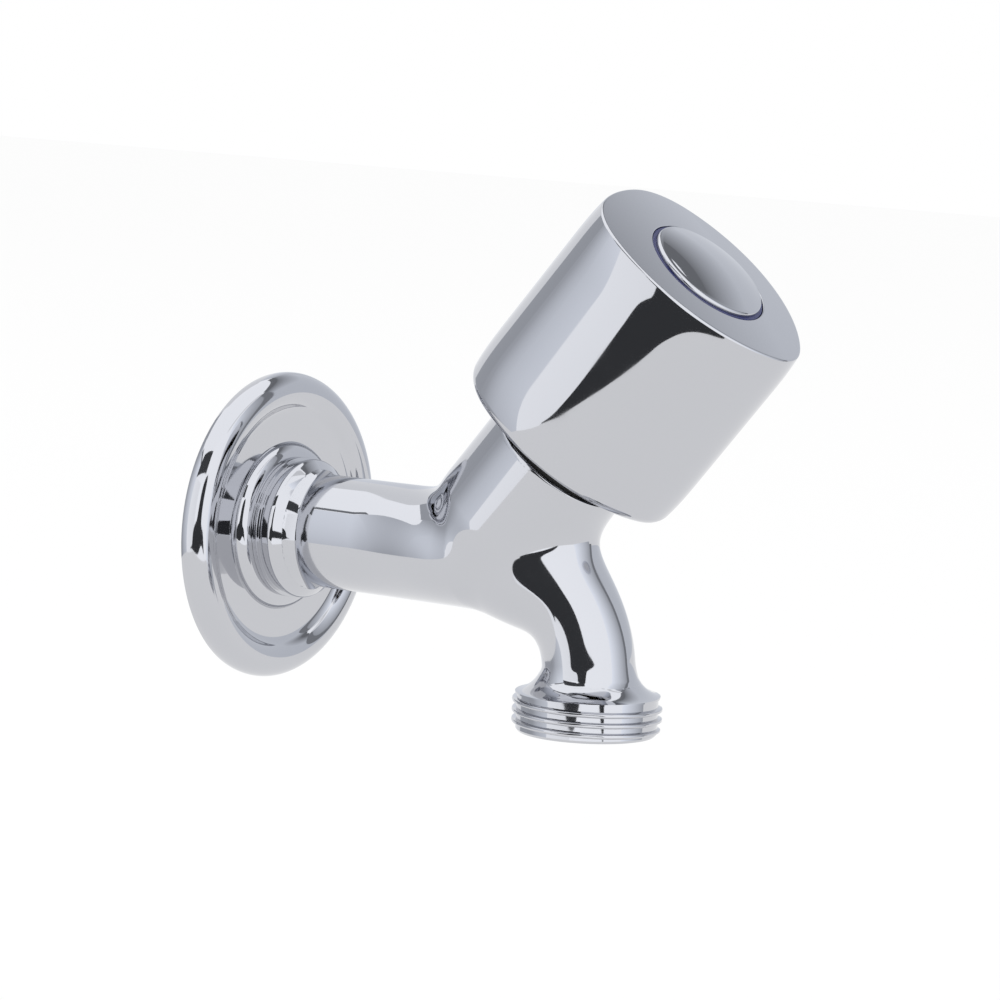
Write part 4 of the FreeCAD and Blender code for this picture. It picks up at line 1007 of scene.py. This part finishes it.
def makeCard(name, corners, glows, tint):
    # a sheet that only mirrors and glass can see, its brightness running from one side to the other
    mesh = bpy.data.meshes.new(name)
    mesh.from_pydata(corners, [], [tuple(range(len(corners)))])
    mesh.attributes.new("glow", "FLOAT", "POINT").data.foreach_set("value", glows)
    card = addObject(name, mesh)
    material = bpy.data.materials.new(name)
    material.use_nodes = True
    tree = material.node_tree
    tree.nodes.remove(tree.nodes["Principled BSDF"])
    glow = addNode(tree, "ShaderNodeAttribute", {}, attribute_name="glow").outputs["Fac"]
    shine = addNode(tree, "ShaderNodeEmission", {"Color": (*tint, 1), "Strength": glow})
    tree.links.new(shine.outputs["Emission"], tree.nodes["Material Output"].inputs["Surface"])
    mesh.materials.append(material)
    card.visible_camera = card.visible_diffuse = card.visible_shadow = False


def makeRing(cards):
    distance = stageSizes["ring"]
    for name, (start, end, low, high, glows, tint) in cards.items():
        low, high = [distance * math.tan(math.radians(angle)) for angle in (low, high)]
        near, far = ringPlace(start, distance), ringPlace(end, distance)
        corners = [(*near, low), (*far, low), (*far, high), (*near, high)]
        if len(glows) == 2:
            glows = (glows[0], glows[1], glows[1], glows[0])
        makeCard(name, corners, glows, tint)


# The black flag beside the camera stands close, which bends its image. Its outline is in steps along its line
# and heights, and its corners are rounded twice.
flagSizes = {
    "middle": (-0.12, -0.12), "along": (math.sqrt(0.5), -math.sqrt(0.5)), "glow": 0.05, "rounds": 2,
    "outline": [(-0.205, -0.066), (-0.155, -0.054), (-0.118, -0.052), (-0.034, -0.052), (-0.009, -0.043),
                (0.009, -0.035), (0.027, -0.032), (0.047, -0.035), (0.069, -0.045), (0.082, -0.051), (0.07, -0.03),
                (0.05, -0.012), (0.02, -0.004), (0.004, 0.008), (0.004, 0.10), (-0.05, 0.10), (-0.055, 0.016),
                (-0.085, 0.009), (-0.105, 0.002), (-0.118, -0.008), (-0.126, -0.018), (-0.13, -0.035),
                (-0.14, -0.045), (-0.172, -0.054)],
}


def makeFlag(sizes):
    (x, y), (alongX, alongY) = sizes["middle"], sizes["along"]
    outline = np.array(sizes["outline"])
    for _ in range(sizes["rounds"]):
        after = np.roll(outline, -1, axis=0)
        outline = np.stack([0.75 * outline + 0.25 * after, 0.25 * outline + 0.75 * after], axis=1).reshape(-1, 2)
    corners = [(x + step * alongX, y + step * alongY, height) for step, height in outline]
    makeCard("blackFlag", corners, [sizes["glow"]] * len(corners), coolTint)


def whiteForCamera(tree, share):
    # the share of white that the camera, a mirror or a glass sees, none of it for other rays
    path = tree.nodes.new("ShaderNodeLightPath").outputs
    seen = addMath(tree, "MAXIMUM", addMath(tree, "MAXIMUM", path["Is Camera Ray"], path["Is Glossy Ray"]),
                   path["Is Transmission Ray"])
    return addMath(tree, "MULTIPLY", seen, share)


def makeWorld(strength):
    # a strength of 1 for what is seen, a little less for the light
    world = bpy.data.worlds.new("softRoom")
    bpy.context.scene.world = world
    world.use_nodes = True
    tree = world.node_tree
    background = tree.nodes["Background"]
    background.inputs["Color"].default_value = (1, 1, 1, 1)
    tree.links.new(addMath(tree, "ADD", whiteForCamera(tree, 1 - strength), strength),
                   background.inputs["Strength"])


def makeFloor(sizes):
    mesh = bpy.data.meshes.new("ground")
    mesh.from_pydata(squareCorners(sizes["floorSide"], 0), [], [(0, 1, 2, 3)])
    floor = addObject("ground", mesh)
    floor.location = (0, 0, sizes["floor"])
    material, shader = newMaterial("paleGround", (0.97, 0.97, 0.97), 0, 0.9)
    tree = material.node_tree
    paper = addNode(tree, "ShaderNodeEmission", {"Strength": 1})
    mix = addNode(tree, "ShaderNodeMixShader", {"Fac": whiteForCamera(tree, 1 - sizes["shadowShare"]),
                                                1: shader.outputs["BSDF"], 2: paper.outputs["Emission"]})
    tree.links.new(mix.outputs["Shader"], tree.nodes["Material Output"].inputs["Surface"])
    mesh.materials.append(material)


def makeLights(lamps):
    for name, (place, side, power) in lamps.items():
        lamp = bpy.data.lights.new(name, "AREA")
        lamp.size, lamp.energy = side, power
        holder = addObject(name, lamp)
        holder.location = place
        holder.rotation_euler = Vector(place).to_track_quat("Z", "Y").to_euler()
        holder.visible_glossy = False


def makeCamera(sizes):
    camera = addObject("camera", bpy.data.cameras.new("camera"))
    camera.data.lens, camera.data.sensor_width = sizes["lens"], sizes["sensor"]
    camera.data.clip_start, camera.data.clip_end = sizes["clip"]
    right, up = Vector(sizes["cameraRight"]), Vector(sizes["cameraUp"])
    right.normalize()
    up = (up - right * up.dot(right)).normalized()
    back = right.cross(up)
    place = sizes["cameraPlace"]
    camera.matrix_world = Matrix([[right[i], up[i], back[i], place[i]] for i in range(3)] + [[0, 0, 0, 1]])
    bpy.context.scene.camera = camera


makeWorld(stageSizes["worldStrength"])
makeFloor(stageSizes)
makeRing(ringCards)
makeCard("overheadSoftbox", squareCorners(stageSizes["overheadSide"], stageSizes["overhead"]),
         [stageSizes["overheadGlow"]] * 4, plainTint)
makeFlag(flagSizes)
makeLights(lamps)
makeCamera(stageSizes)
bpy.context.scene.view_settings.view_transform = "Standard"
